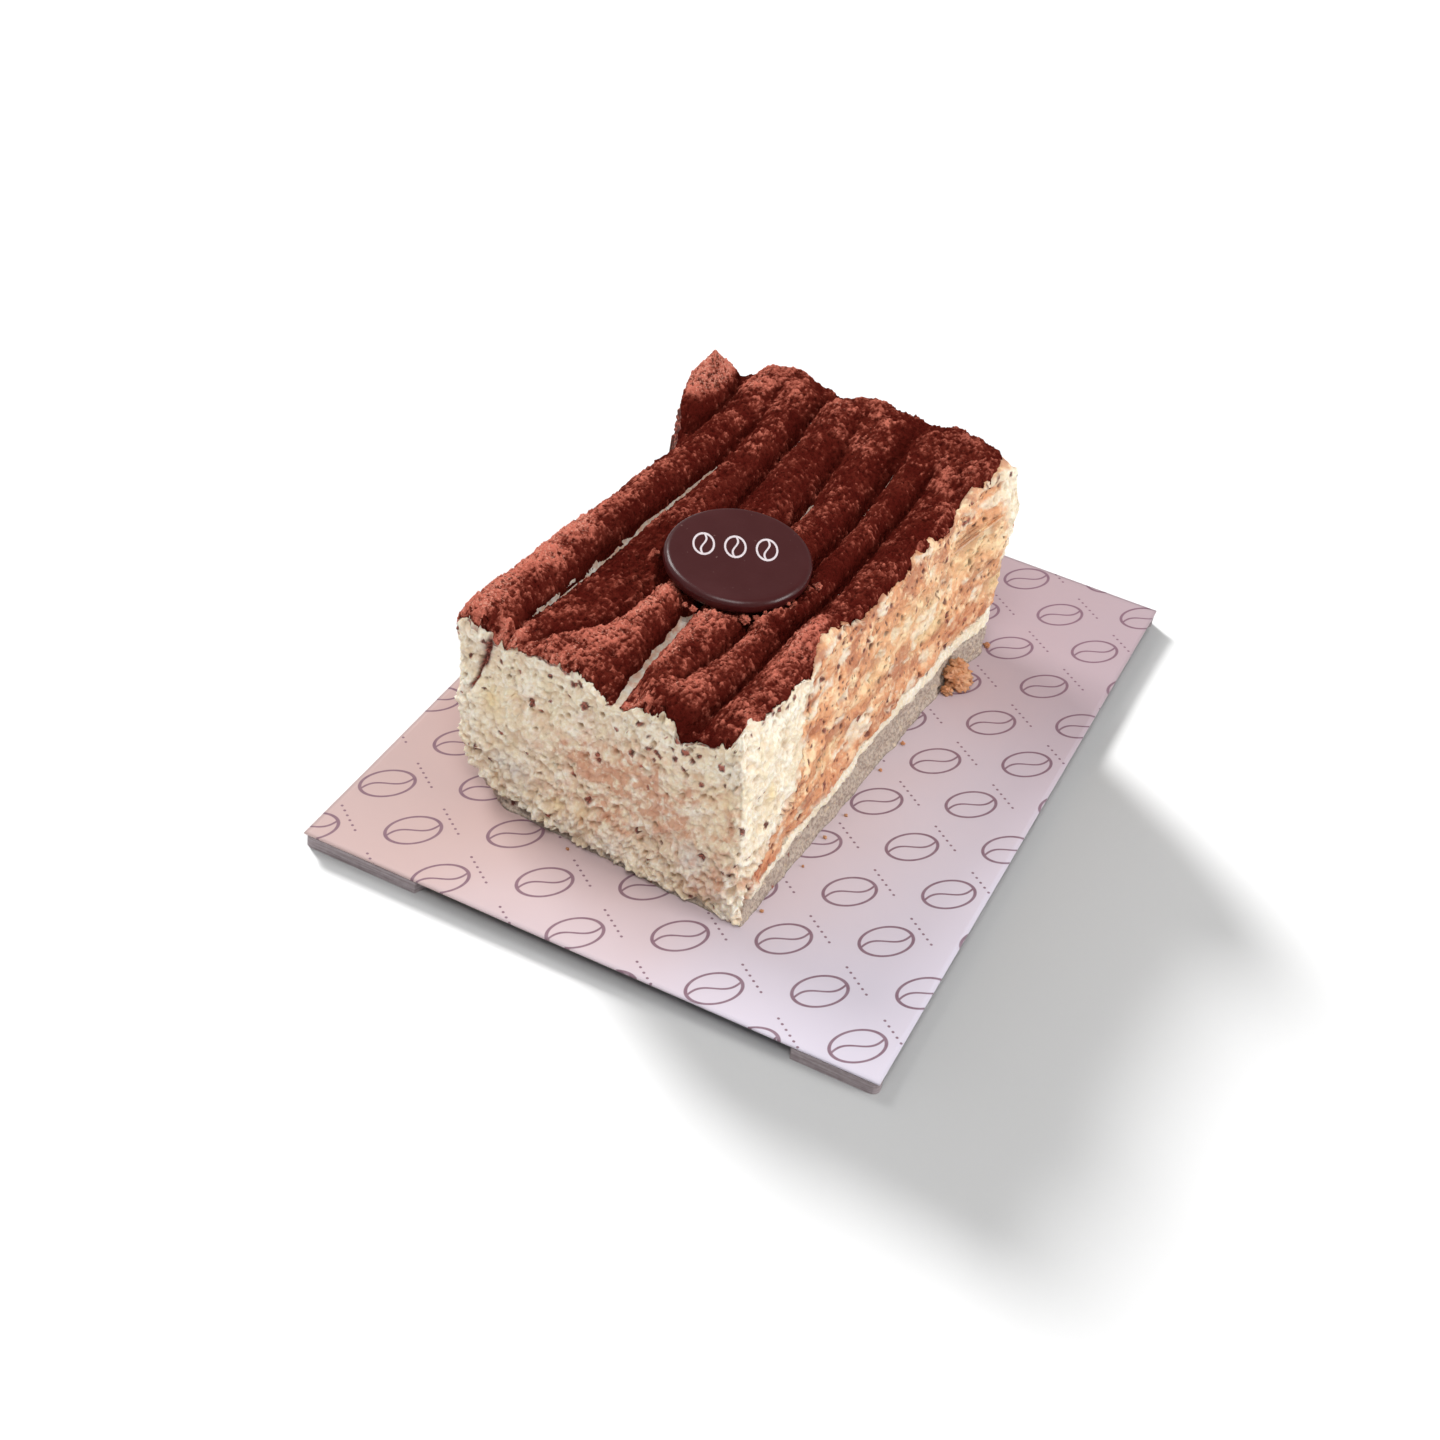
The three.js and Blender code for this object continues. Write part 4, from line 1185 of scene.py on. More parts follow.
    def cocoa_dusting(self) -> bpy.types.Object:
        """Cocoa over the piped top, missing in some grooves and along torn edges."""
        surface = self.surface
        bare = surface.bare
        relief = self.powder()
        thickness = lerp(np.maximum(0.45 + relief, 0.1), -0.55, bare)
        over, under = surface.top.copy(), surface.top.copy()
        over[..., 2] += thickness
        under[..., 2] -= UNDER_COCOA
        share = bare[..., None]
        for grid, part in ((over, share), (over.swapaxes(0, 1), share.swapaxes(0, 1))):
            for edge, inner in ((0, 3), (-1, -4)):
                grid[edge] = lerp(grid[edge], grid[inner], part[edge])
        shell = Shell()
        # Channels: painted light share, bare share, fine relief and an unused fourth; the grains are strewn
        # as thick as the first.
        channel = stack(self.painted_light(), bare, np.clip(0.5 + relief, 0, 1), 0 * bare)
        grid = shell.add_grid(over, dusting=channel)
        shell.add_triangles(grid_triangles(grid))
        under[..., :2] = lerp(under[..., :2], np.array([-30.0, 50.0]), 0.02)
        low_grid = shell.add_grid(under, dusting=np.zeros_like(channel))
        shell.add_triangles(skirt(ring_of(grid), ring_of(low_grid)), hidden=True)
        shell.add_triangles(coarse_lid(low_grid, ring_of(low_grid), self.lid_step)[:, ::-1], hidden=True)
        piece = shell.make("cocoa_powder", self.form)
        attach(piece, "root")
        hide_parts("cocoa_dusting")
        return piece


# ---------------------------------------------------------------- shader building


def operator(operation: str, swapped: bool = False) -> Callable:
    """Makes a method of Val.

    Args:
        operation: Kind of Math node that the method adds.
        swapped: Whether the operands trade places, as in a reflected form.

    Returns:
        The method.
    """

    def method(value: "Val", other: object = None) -> "Val":
        """Result of the operation."""
        return value.math(operation, *((other, value) if swapped else (value, other)))

    return method


class Val:
    """A number that flows between shader nodes and takes Python's operators."""

    def __init__(self, maker: "Maker", socket: bpy.types.NodeSocket) -> None:
        """Wraps a socket of a maker's tree."""
        self.maker = maker
        self.socket = socket

    def math(self, operation: str, first: object, second: object = None, clamp: bool = False) -> "Val":
        """Adds one Math node."""
        inputs = {0: first} if second is None else {0: first, 1: second}
        node = self.maker.node("ShaderNodeMath", {"operation": operation, "use_clamp": clamp}, inputs)
        return Val(self.maker, node.outputs[0])

    __add__, __radd__ = operator("ADD"), operator("ADD", swapped=True)
    __sub__, __rsub__ = operator("SUBTRACT"), operator("SUBTRACT", swapped=True)
    __mul__, __rmul__ = operator("MULTIPLY"), operator("MULTIPLY", swapped=True)
    __truediv__, __rtruediv__ = operator("DIVIDE"), operator("DIVIDE", swapped=True)
    __pow__, __abs__ = operator("POWER"), operator("ABSOLUTE")
    most, whole, sine = operator("MAXIMUM"), operator("FLOOR"), operator("SINE")

    def wrapped(self, span: float) -> "Val":
        """Remainder that is never negative."""
        return self - (self / span).whole() * span

    def clamped(self) -> "Val":
        """Kept between 0 and 1."""
        return self.math("ADD", self, 0.0, clamp=True)

    def step(self, low: float, high: float) -> "Val":
        """Soft rise from 0 at low to 1 at high; high may be the smaller one for a fall."""
        node = self.maker.node(
            "ShaderNodeMapRange",
            {"interpolation_type": "SMOOTHSTEP"},
            {"Value": self, "From Min": low, "From Max": high, "To Min": 0.0, "To Max": 1.0},
        )
        return Val(self.maker, node.outputs[0])


class Maker:
    """Builds one material's nodes."""

    def __init__(self, name: str) -> None:
        """Starts an empty material."""
        self.material = bpy.data.materials.new(name)
        self.material.use_nodes = True
        self.tree = self.material.node_tree
        self.tree.nodes.clear()

    def node(self, kind: str, settings: dict | None = None, inputs: dict | None = None) -> bpy.types.Node:
        """Adds a node.

        Args:
            kind: Type of the node.
            settings: Properties, set first; "stops" are a ramp's places and colours.
            inputs: Values or links by socket name or number.

        Returns:
            The node.
        """
        node = self.tree.nodes.new(kind)
        for key, value in (settings or {}).items():
            if key == "stops":
                ramp = node.color_ramp
                while len(ramp.elements) < len(value):
                    ramp.elements.new(0.5)
                for element, (place, colour) in zip(ramp.elements, value):
                    element.position, element.color = place, (*colour, 1.0)
            else:
                setattr(node, key, value)
        for key, value in (inputs or {}).items():
            socket = node.inputs[key]
            if isinstance(value, Val):
                self.tree.links.new(value.socket, socket)
            elif isinstance(value, bpy.types.NodeSocket):
                self.tree.links.new(value, socket)
            elif isinstance(value, tuple) and len(value) == 3 and socket.type == "RGBA":
                socket.default_value = (*value, 1.0)
            else:
                socket.default_value = value
        return node

    def place(self) -> bpy.types.NodeSocket:
        """Object coordinates, in metres."""
        return self.node("ShaderNodeTexCoord").outputs["Object"]

    def scaled(self, scale: Triple, turn: float = 0.0) -> bpy.types.NodeSocket:
        """Object coordinates turned about the upright and scaled."""
        mapping = self.node(
            "ShaderNodeMapping",
            {"vector_type": "POINT"},
            {"Vector": self.place(), "Rotation": (0.0, 0.0, turn), "Scale": scale},
        )
        return mapping.outputs[0]

    def noise(self, scale: float, detail: float, at: bpy.types.NodeSocket | None = None) -> Val:
        """Noise between 0 and 1."""
        inputs = {"Vector": at or self.place(), "Scale": scale, "Detail": detail, "Roughness": NOISE_GAIN}
        return Val(self, self.node("ShaderNodeTexNoise", None, inputs).outputs["Fac"])

    def channels(self, name: str) -> tuple[Val, Val, Val, Val]:
        """The four numbers of a colour attribute."""
        attribute = self.node("ShaderNodeAttribute", {"attribute_name": name})
        split = self.node("ShaderNodeSeparateColor", None, {0: attribute.outputs["Color"]})
        parts = [Val(self, split.outputs[k]) for k in range(3)]
        return parts[0], parts[1], parts[2], Val(self, attribute.outputs["Alpha"])

    def number(self, name: str) -> Val:
        """A number attribute."""
        return Val(self, self.node("ShaderNodeAttribute", {"attribute_name": name}).outputs["Fac"])

    def local(self, centre_mm: Triple, turn: float) -> tuple[Val, Val, Val]:
        """Coordinates in millimetres round a place, turned about the upright."""
        place = tuple(c * MM for c in centre_mm)
        mapping = self.node(
            "ShaderNodeMapping",
            {"vector_type": "TEXTURE"},
            {"Vector": self.place(), "Location": place, "Rotation": (0.0, 0.0, turn), "Scale": (MM, MM, MM)},
        )
        return self.parts(mapping.outputs[0])

    def parts(self, vector: bpy.types.NodeSocket) -> tuple[Val, Val, Val]:
        """The three numbers of a vector."""
        split = self.node("ShaderNodeSeparateXYZ", None, {0: vector})
        return tuple(Val(self, split.outputs[k]) for k in range(3))

    def mix(self, share: object, first: object, second: object) -> bpy.types.NodeSocket:
        """Mix of two colours."""
        return self.node("ShaderNodeMix", {"data_type": "RGBA"}, {0: share, 6: first, 7: second}).outputs[2]

    def bumped(self, height: Val, depth_mm: float) -> bpy.types.NodeSocket:
        """Normal of a relief of a depth."""
        inputs = {"Height": height, "Distance": depth_mm * MM, "Strength": 1.0}
        return self.node("ShaderNodeBump", None, inputs).outputs[0]

    def finish(self, **inputs: object) -> bpy.types.Material:
        """Ends the material in a Principled shader with these inputs."""
        named = {key.replace("_", " "): value for key, value in inputs.items()}
        shader = self.node("ShaderNodeBsdfPrincipled", None, named)
        out = self.node("ShaderNodeOutputMaterial")
        self.tree.links.new(shader.outputs[0], out.inputs[0])
        return self.material


# ---------------------------------------------------------------- finishes


@dataclass(frozen=True)
class CutCakeFinish:
    """Cream, soaked sponge and base sponge with their stains, told apart by attributes, with shade painted
    into the hollows and pores of cream and soaked sponge.
    """

    cream: Colour = (0.84, 0.72, 0.52)
    cream_high: Colour = (0.93, 0.865, 0.74)
    # Painted shade in the cream's hollows, with some coffee brown in it.
    cream_hollow_shade: Colour = (0.68, 0.48, 0.31)
    # Painted shade in the cream's pores.
    cream_pore_shade: Colour = (0.40, 0.25, 0.13)
    sponge: Colour = (0.73, 0.33, 0.15)
    sponge_pale: Colour = (0.97, 0.74, 0.46)
    # Dark soaked sponge for its streaks, also used as the painted shade in the sponge's hollows.
    sponge_soaked_and_shaded: Colour = (0.44, 0.145, 0.06)
    # Painted shade in the sponge's pores.
    sponge_pore_shade: Colour = (0.14, 0.032, 0.014)
    base: Colour = (0.52, 0.42, 0.34)
    base_dark: Colour = (0.34, 0.26, 0.21)
    coffee: Colour = (0.62, 0.29, 0.17)
    rust: Colour = (0.50, 0.15, 0.06)
    grey: Colour = (0.66, 0.63, 0.60)
    yellow: Colour = (0.87, 0.68, 0.36)
    cocoa: Colour = (0.085, 0.014, 0.008)
    cocoa_light: Colour = (0.36, 0.088, 0.058)

    def build(self) -> bpy.types.Material:
        """The material."""
        m = Maker("cut_cake")
        sponge, base, pore, cocoa = m.channels("layers")
        stain, rust, grey, yellow = m.channels("stains")
        hollow_shade = m.number("depths")
        broad, middle, fine = m.noise(230, 4), m.noise(700, 4), m.noise(1700, 3)
        cream = m.mix((broad * 0.5 + fine * 0.7).step(0.5, 0.72), self.cream, self.cream_high)
        # Painted shade in the cream's hollows, mixed with random darker tone, then in its pores.
        cream = m.mix((hollow_shade * 0.9 + (middle - 0.5) * 0.8).clamped() * 0.6, cream, self.cream_hollow_shade)
        cream = m.mix(pore * 0.85, cream, self.cream_pore_shade)
        cream = m.mix(grey * 0.9, cream, self.grey)
        sponge_colour = m.mix((middle * 0.5 + broad * 0.5).step(0.47, 0.63), self.sponge, self.sponge_pale)
        streaks = m.noise(1.0, 4, at=m.scaled((200.0, 110.0, 260.0)))
        sponge_colour = m.mix((streaks + fine * 0.25).step(0.60, 0.76) * 0.85, sponge_colour, self.sponge_soaked_and_shaded)
        sponge_colour = m.mix(streaks.step(0.45, 0.36) * 0.6, sponge_colour, self.sponge_pale)
        # Painted shade in the sponge's hollows, then in its pores.
        sponge_colour = m.mix((hollow_shade * 0.8 + (fine - 0.5) * 0.8).clamped() * 0.7, sponge_colour, self.sponge_soaked_and_shaded)
        sponge_colour = m.mix(pore.step(0.15, 0.7), sponge_colour, self.sponge_pore_shade)
        gritty = m.mix(fine.step(0.42, 0.60), self.base, self.base_dark)
        gritty = m.mix(middle.step(0.55, 0.75) * 0.35, gritty, self.sponge_pale)
        colour = m.mix(sponge, cream, sponge_colour)
        colour = m.mix(yellow * 0.8, colour, self.yellow)
        colour = m.mix((stain * (middle - 0.34) * 7.0).clamped() * 0.8, colour, self.coffee)
        colour = m.mix((rust * (0.45 + middle)).clamped() * 0.8, colour, self.rust)
        colour = m.mix(base, colour, gritty)
        colour = m.mix(cocoa, colour, m.mix(m.noise(1500, 3).step(0.46, 0.62), self.cocoa, self.cocoa_light))
        relief = m.bumped(fine + middle * 0.7, 0.3)
        roughness = 0.58 + cocoa * 0.35 - sponge * 0.16
        return m.finish(
            Base_Color=colour,
            Roughness=roughness,
            Normal=relief,
            Subsurface_Weight=0.12,
            Subsurface_Radius=(1.0, 0.55, 0.3),
            Subsurface_Scale=0.001,
        )


@dataclass(frozen=True)
class CocoaFinish:
    """Cocoa powder, granular and dull, with its light and shade painted into the colour."""

    # The first three colours are cocoa in shade, half lit and lit; the fourth is painted highlights on lit
    # grains.
    dark: Colour = (0.085, 0.009, 0.006)
    middle: Colour = (0.20, 0.036, 0.022)
    light: Colour = (0.66, 0.19, 0.13)
    painted_glint: Colour = (0.85, 0.44, 0.33)
    pit: Colour = (0.05, 0.006, 0.004)

    def build(self) -> bpy.types.Material:
        """The material."""
        m = Maker("cocoa")
        # The first channel is the painted light share.
        lit, _, relief, _ = m.channels("dusting")
        broad, middle, fine = m.noise(260, 4), m.noise(1500, 3), m.noise(2900, 2)
        grain = relief * 0.55 + middle * 0.9 + fine * 0.3
        # Painted shade in grooves and low spots and painted light on crests, from the lit share and the
        # relief.
        colour = m.mix((lit * 0.5 + broad * 0.5 + relief * 0.3).step(0.3, 0.85), self.dark, self.middle)
        colour = m.mix((grain + lit * 0.6).step(1.0, 1.55), colour, self.light)
        # Painted highlights on fine grains where the cocoa is lit.
        colour = m.mix((fine + lit * 0.32).step(0.80, 0.94) * 0.55, colour, self.painted_glint)
        colour = m.mix((middle + relief * 0.15).step(0.52, 0.40) * 0.7, colour, self.pit)
        normal = m.bumped(fine * 0.6 + middle * 1.2, 0.55)
        return m.finish(Base_Color=colour, Roughness=0.95, Normal=normal, Specular_IOR_Level=0.0)


@dataclass(frozen=True)
class Bean:
    """Thin outlined bean with a wavy seam, as it is printed here."""

    wide: float
    tall: float
    line: float

    def ink(self, x: Val, y: Val) -> Val:
        """Share of ink round the bean's own centre, in millimetres."""
        radius = ((x / self.wide) * (x / self.wide) + (y / self.tall) * (y / self.tall)) ** 0.5
        outline = abs(radius - 1.0).step(self.line / self.wide * 1.7, self.line / self.wide * 0.9)
        sway = (y * (3.0 / self.tall)).sine() * 0.25 * self.wide
        seam = abs(x - sway).step(self.line * 1.7, self.line * 0.9)
        return outline.most(seam * radius.step(1.0, 0.98))


@dataclass(frozen=True)
class ChocolateFinish:
    """Dark chocolate with a satin skin and a thin white motif of beans."""

    centre: Triple
    dark: Colour = (0.048, 0.0060, 0.0065)
    bloom: Colour = (0.062, 0.011, 0.012)
    white: Colour = (0.74, 0.66, 0.68)
    turn_deg: float = 25.0
    spacing: float = 5.4
    bean: Bean = Bean(1.75, 2.7, 0.13)

    def build(self) -> bpy.types.Material:
        """The material."""
        m = Maker("dark_chocolate")
        x, y, z = m.local(self.centre, math.radians(self.turn_deg))
        slot = (x / self.spacing + 0.5).whole()
        near = x - slot * self.spacing
        ink = self.bean.ink(near, y) * abs(slot).step(1.5, 1.4) * z.step(0.2, 0.4)
        broad, fine = m.noise(90, 3), m.noise(1400, 3)
        colour = m.mix(broad.step(0.4, 0.75) * 0.6, self.dark, self.bloom)
        colour = m.mix(fine.step(0.70, 0.76) * 0.35, colour, (0.4, 0.25, 0.22))
        colour = m.mix(ink * (0.75 + fine * 0.3), colour, self.white)
        roughness = 0.22 + broad * 0.12 + fine * 0.05
        normal = m.bumped(broad + fine * 0.15, 0.12)
        return m.finish(Base_Color=colour, Roughness=roughness, Normal=normal, Specular_IOR_Level=0.36)


@dataclass(frozen=True)
class PaperFinish:
    """Printed paper: outlined beans with rows of dots on pale lilac."""

    lilac: Colour = (0.66, 0.61, 0.70)
    pink: Colour = (0.565, 0.405, 0.385)
    far: Colour = (0.43, 0.315, 0.345)
    ink: Colour = (0.20, 0.10, 0.14)
    pitch: tuple[float, float] = (12.6, 16.0)
    bean: Bean = Bean(3.2, 4.9, 0.16)
    dot_pitch: float = 1.3
    turn_deg: float = 38.0
    shift: float = 400.0

    def build(self) -> bpy.types.Material:
        """The material."""
        m = Maker("printed_paper")
        x, y = self._plane(m)
        across, down = self.pitch
        row = (y / down).whole()
        shifted = x + row.wrapped(2) * (across / 2)
        px = shifted.wrapped(across) - across / 2
        py = y.wrapped(down) - down / 2
        ink = self.bean.ink(px, py + 1.5).most(self._dots(px, py - 5.3))
        broad, fine = m.noise(14, 3), m.noise(700, 4)
        side, depth, _ = m.parts(m.place())
        ground = m.mix((side * -9.0 + depth * 3.0 + broad * 0.5).step(-0.35, 0.4), self.lilac, self.pink)
        ground = m.mix((depth + side * 0.5).step(-0.005, 0.075) * 0.8, ground, self.far)
        colour = m.mix(ink * (0.75 + fine * 0.3), ground, self.ink)
        normal = m.bumped(m.noise(60, 3) + fine * 0.05, 0.12)
        return m.finish(Base_Color=colour, Roughness=0.42 + fine * 0.2, Normal=normal)

    def _plane(self, m: Maker) -> tuple[Val, Val]:
        """Coordinates on the sheet in millimetres, turned to the print's slant."""
        x, y, _ = m.parts(m.scaled((1 / MM, 1 / MM, 1 / MM), math.radians(self.turn_deg)))
        return x + self.shift, y + self.shift

    def _dots(self, x: Val, y: Val) -> Val:
        """Ink of a short row of dots."""
        dx = x.wrapped(self.dot_pitch) - self.dot_pitch / 2
        distance = (dx * dx + y * y) ** 0.5
        return distance.step(0.30, 0.20) * abs(x).step(3.95, 3.85)


@dataclass(frozen=True)
class BoardFinish:
    """Grey card with fine lengthwise streaks."""

    light: Colour = (0.42, 0.36, 0.37)
    dark: Colour = (0.25, 0.20, 0.21)

    def build(self) -> bpy.types.Material:
        """The material."""
        m = Maker("grey_board")
        streaks = m.noise(1.0, 4, at=m.scaled((120.0, 120.0, 2600.0)))
        fibres = m.noise(900, 4)
        colour = m.mix((streaks * 0.7 + fibres * 0.4).step(0.35, 0.8), self.dark, self.light)
        normal = m.bumped(streaks + fibres * 0.4, 0.15)
        return m.finish(Base_Color=colour, Roughness=0.85, Normal=normal)


@dataclass(frozen=True)
class FloorFinish:
    """Plain pale floor."""

    colour: Colour = (0.31, 0.31, 0.31)

    def build(self) -> bpy.types.Material:
        """The material."""
        m = Maker("floor")
        return m.finish(Base_Color=self.colour, Roughness=0.9, Specular_IOR_Level=0.1)


def dress(piece: bpy.types.Object, material: bpy.types.Material) -> None:
    """Gives a piece one material."""
    piece.data.materials.clear()
    piece.data.materials.append(material)
    LOG.info("%s in %s: %d faces", piece.name, material.name, len(piece.data.polygons))


# ---------------------------------------------------------------- sheet and disc


@dataclass(frozen=True)
class PaperSheet:
    """Stiff printed sheet with a slight wave."""

    width: float = 105.0
    depth: float = 148.5
    low: float = 2.4
    thickness: float = 0.3
    step: float = 1.0
    wave: float = 0.22
    wave_length: float = 45.0
    wave_reach: float = 14.0

    def build(self) -> bpy.types.Object:
        """The sheet as a closed mesh."""
        n, m = int(self.width / self.step), int(self.depth / self.step)
        x, y = np.meshgrid(
            np.linspace(-self.width / 2, self.width / 2, n + 1),
            np.linspace(-self.depth / 2, self.depth / 2, m + 1),
            indexing="ij",
        )
        edge = np.minimum(self.width / 2 - np.abs(x), self.depth / 2 - np.abs(y))
        wave = Noise(81).fractal(stack(x / self.wave_length, y / self.wave_length, 0.0), 2) * 0.5 + 0.5
        lift = self.wave * np.clip(wave, 0, 1) * np.exp(-edge / self.wave_reach)
        shell = Shell()
        grid_low = shell.add_grid(stack(x, y, self.low + lift))
        grid_high = shell.add_grid(stack(x, y, self.low + self.thickness + lift))
        shell.add_triangles(grid_triangles(grid_high))
        shell.add_triangles(grid_triangles(grid_low)[:, ::-1])
        shell.add_triangles(skirt(ring_of(grid_high), ring_of(grid_low)), hidden=True)
        piece = shell.make("printed_sheet", None)
        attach(piece, "root")
        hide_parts("paper_sheet")
        return piece


@dataclass(frozen=True)
class ChocolateDisc:
    """Moulded disc with soft edges."""

    place: DiscPlace
    form: CakeForm
    segments: int = 180
    rings: int = 12
    edge: float = 1.15
    arc_steps: int = 10
    dip: float = 0.12

    def build(self) -> bpy.types.Object:
        """The disc as a closed mesh."""
        half, radius = self.place.thickness / 2, self.place.radius
        profile = []
        for side in (-1, 1):
            for step in range(self.arc_steps + 1):
                turn = TAU / 4 * step / self.arc_steps
                angle = turn - TAU / 4 if side < 0 else turn
                height = side * (half - self.edge) + self.edge * math.sin(angle)
                profile.append((radius - self.edge + self.edge * math.cos(angle), height))
        inner = [(radius - self.edge) * k / self.rings for k in range(1, self.rings)]
        profile = [(r, -half) for r in inner] + profile + [(r, half) for r in reversed(inner)]
        r, h = np.array(profile).T
        angle = np.linspace(0, TAU, self.segments, endpoint=False)
        sway = Noise(91).fractal(stack(np.cos(angle) * 1.5, np.sin(angle) * 1.5, 0.0), 3)
        swell = 1 + 0.006 * sway[:, None] * (r[None] / radius) ** 4
        x = r[None] * swell * np.cos(angle)[:, None]
        y = r[None] * swell * np.sin(angle)[:, None]
        dip = self.dip * (1 - np.clip(r / (radius - 1.5), 0, 1) ** 6) * (h > 0)
        z = np.broadcast_to((h - dip)[None], x.shape)
        shell = Shell()
        index = shell.add_grid(self._tilted(stack(x, y, z)))
        index = np.concatenate([index, index[:1]])
        shell.add_triangles(grid_triangles(index))
        poles = self._tilted(np.array([[0, 0, -half], [0, 0, half - self.dip]]))
        pole = shell.add_points(poles)
        here, after = index[:-1], index[1:]
        shell.add_triangles(np.stack([after[:, 0], here[:, 0], np.full(self.segments, pole)], -1))
        shell.add_triangles(np.stack([here[:, -1], after[:, -1], np.full(self.segments, pole + 1)], -1))
        piece = shell.make("chocolate_disc_moulded", self.form)
        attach(piece, "root")
        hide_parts("chocolate_disc")
        return piece

    def _tilted(self, points: Array) -> Array:
        """Points of the disc's own frame, tilted and put in place."""
        heading = math.radians(self.place.heading_deg)
        tilt = math.radians(self.place.tilt_deg)
        down = np.array([math.cos(heading), math.sin(heading), 0])
        side = np.array([-math.sin(heading), math.cos(heading), 0])
        up = np.array([0, 0, 1.0])
        along, across, rise = points @ down, points @ side, points @ up
        moved = along * math.cos(tilt) + rise * math.sin(tilt)
        risen = rise * math.cos(tilt) - along * math.sin(tilt)
        result = moved[..., None] * down + across[..., None] * side + risen[..., None] * up
        return result + np.array(self.place.centre)


# ---------------------------------------------------------------- grains and crumbs


@dataclass(frozen=True)
class Grains:
    """Loose grains strewn over a mesh by Geometry Nodes, as thick as an attribute says."""

    name: str
    attribute: str
    seed: int
    density: float
    small: float
    large: float

    def build(self, ground: bpy.types.Object, material: bpy.types.Material) -> bpy.types.Object:
        """Strews the grains.

        Args:
            ground: Piece that carries the attribute.
            material: Finish of the grains.

        Returns:
            The grains as one realized mesh.
        """
        tree = self._tree(material)
        source = new_object(self.name + "_source", ground.data)
        modifier = source.modifiers.new("grains", "NODES")
        modifier.node_group = tree
        values = {"Density": self.density, "Seed": self.seed}
        values |= {"Small": self.small * MM, "Large": self.large * MM}
        for item in tree.interface.items_tree:
            if item.in_out == "INPUT" and item.name in values:
                modifier[item.identifier] = values[item.name]
        graph = bpy.context.evaluated_depsgraph_get()
        mesh = bpy.data.meshes.new_from_object(source.evaluated_get(graph))
        bpy.data.objects.remove(source)
        mesh.name = self.name
        return new_object(self.name, mesh)

    def _tree(self, material: bpy.types.Material) -> bpy.types.NodeTree:
        """The node tree that strews them."""
        tree = bpy.data.node_groups.new(self.name, "GeometryNodeTree")
        face = tree.interface
        face.new_socket("Geometry", in_out="INPUT", socket_type="NodeSocketGeometry")
        for name, kind in (("Density", "Float"), ("Seed", "Int"), ("Small", "Float"), ("Large", "Float")):
            face.new_socket(name, in_out="INPUT", socket_type="NodeSocket" + kind)
        face.new_socket("Geometry", in_out="OUTPUT", socket_type="NodeSocketGeometry")
        given = tree.nodes.new("NodeGroupInput").outputs
        result = tree.nodes.new("NodeGroupOutput")

        def add(kind: str, inputs: dict, **settings: object) -> bpy.types.Node:
            """Adds a node with its settings and inputs."""
            node = tree.nodes.new(kind)
            for key, value in settings.items():
                setattr(node, key, value)
            for key, value in inputs.items():
                if isinstance(value, bpy.types.NodeSocket):
                    tree.links.new(value, node.inputs[key])
                else:
                    node.inputs[key].default_value = value
            return node

        named = add("GeometryNodeInputNamedAttribute", {"Name": self.attribute}, data_type="FLOAT_COLOR")
        split = add("FunctionNodeSeparateColor", {0: named.outputs["Attribute"]})
        thick = add("ShaderNodeMath", {0: split.outputs[0], 1: given["Density"]}, operation="MULTIPLY")
        inputs = {"Mesh": given["Geometry"], "Density": thick.outputs[0], "Seed": given["Seed"]}
        points = add("GeometryNodeDistributePointsOnFaces", inputs)
        ball = add("GeometryNodeMeshIcoSphere", {"Radius": 1.0, "Subdivisions": 1})
        turns = {1: (TAU, TAU, TAU), "Seed": given["Seed"]}
        sizes = {0: given["Small"], 1: given["Large"], "Seed": given["Seed"]}
        turn, size = (
            add("FunctionNodeRandomValue", span, data_type="FLOAT_VECTOR") for span in (turns, sizes)
        )
        spread = {"Points": points.outputs["Points"], "Instance": ball.outputs["Mesh"]}
        spread |= {"Rotation": turn.outputs[0], "Scale": size.outputs[0]}
        spread = add("GeometryNodeInstanceOnPoints", spread)
        real = add("GeometryNodeRealizeInstances", {"Geometry": spread.outputs[0]})
        painted = add("GeometryNodeSetMaterial", {"Geometry": real.outputs[0], "Material": material})
        tree.links.new(painted.outputs[0], result.inputs[0])
        return tree


@dataclass(frozen=True)
class Crumb:
    """One crumb: its place in the cake's frame and its radius, in millimetres."""

    u: float
    v: float
    z: float
    radius: float


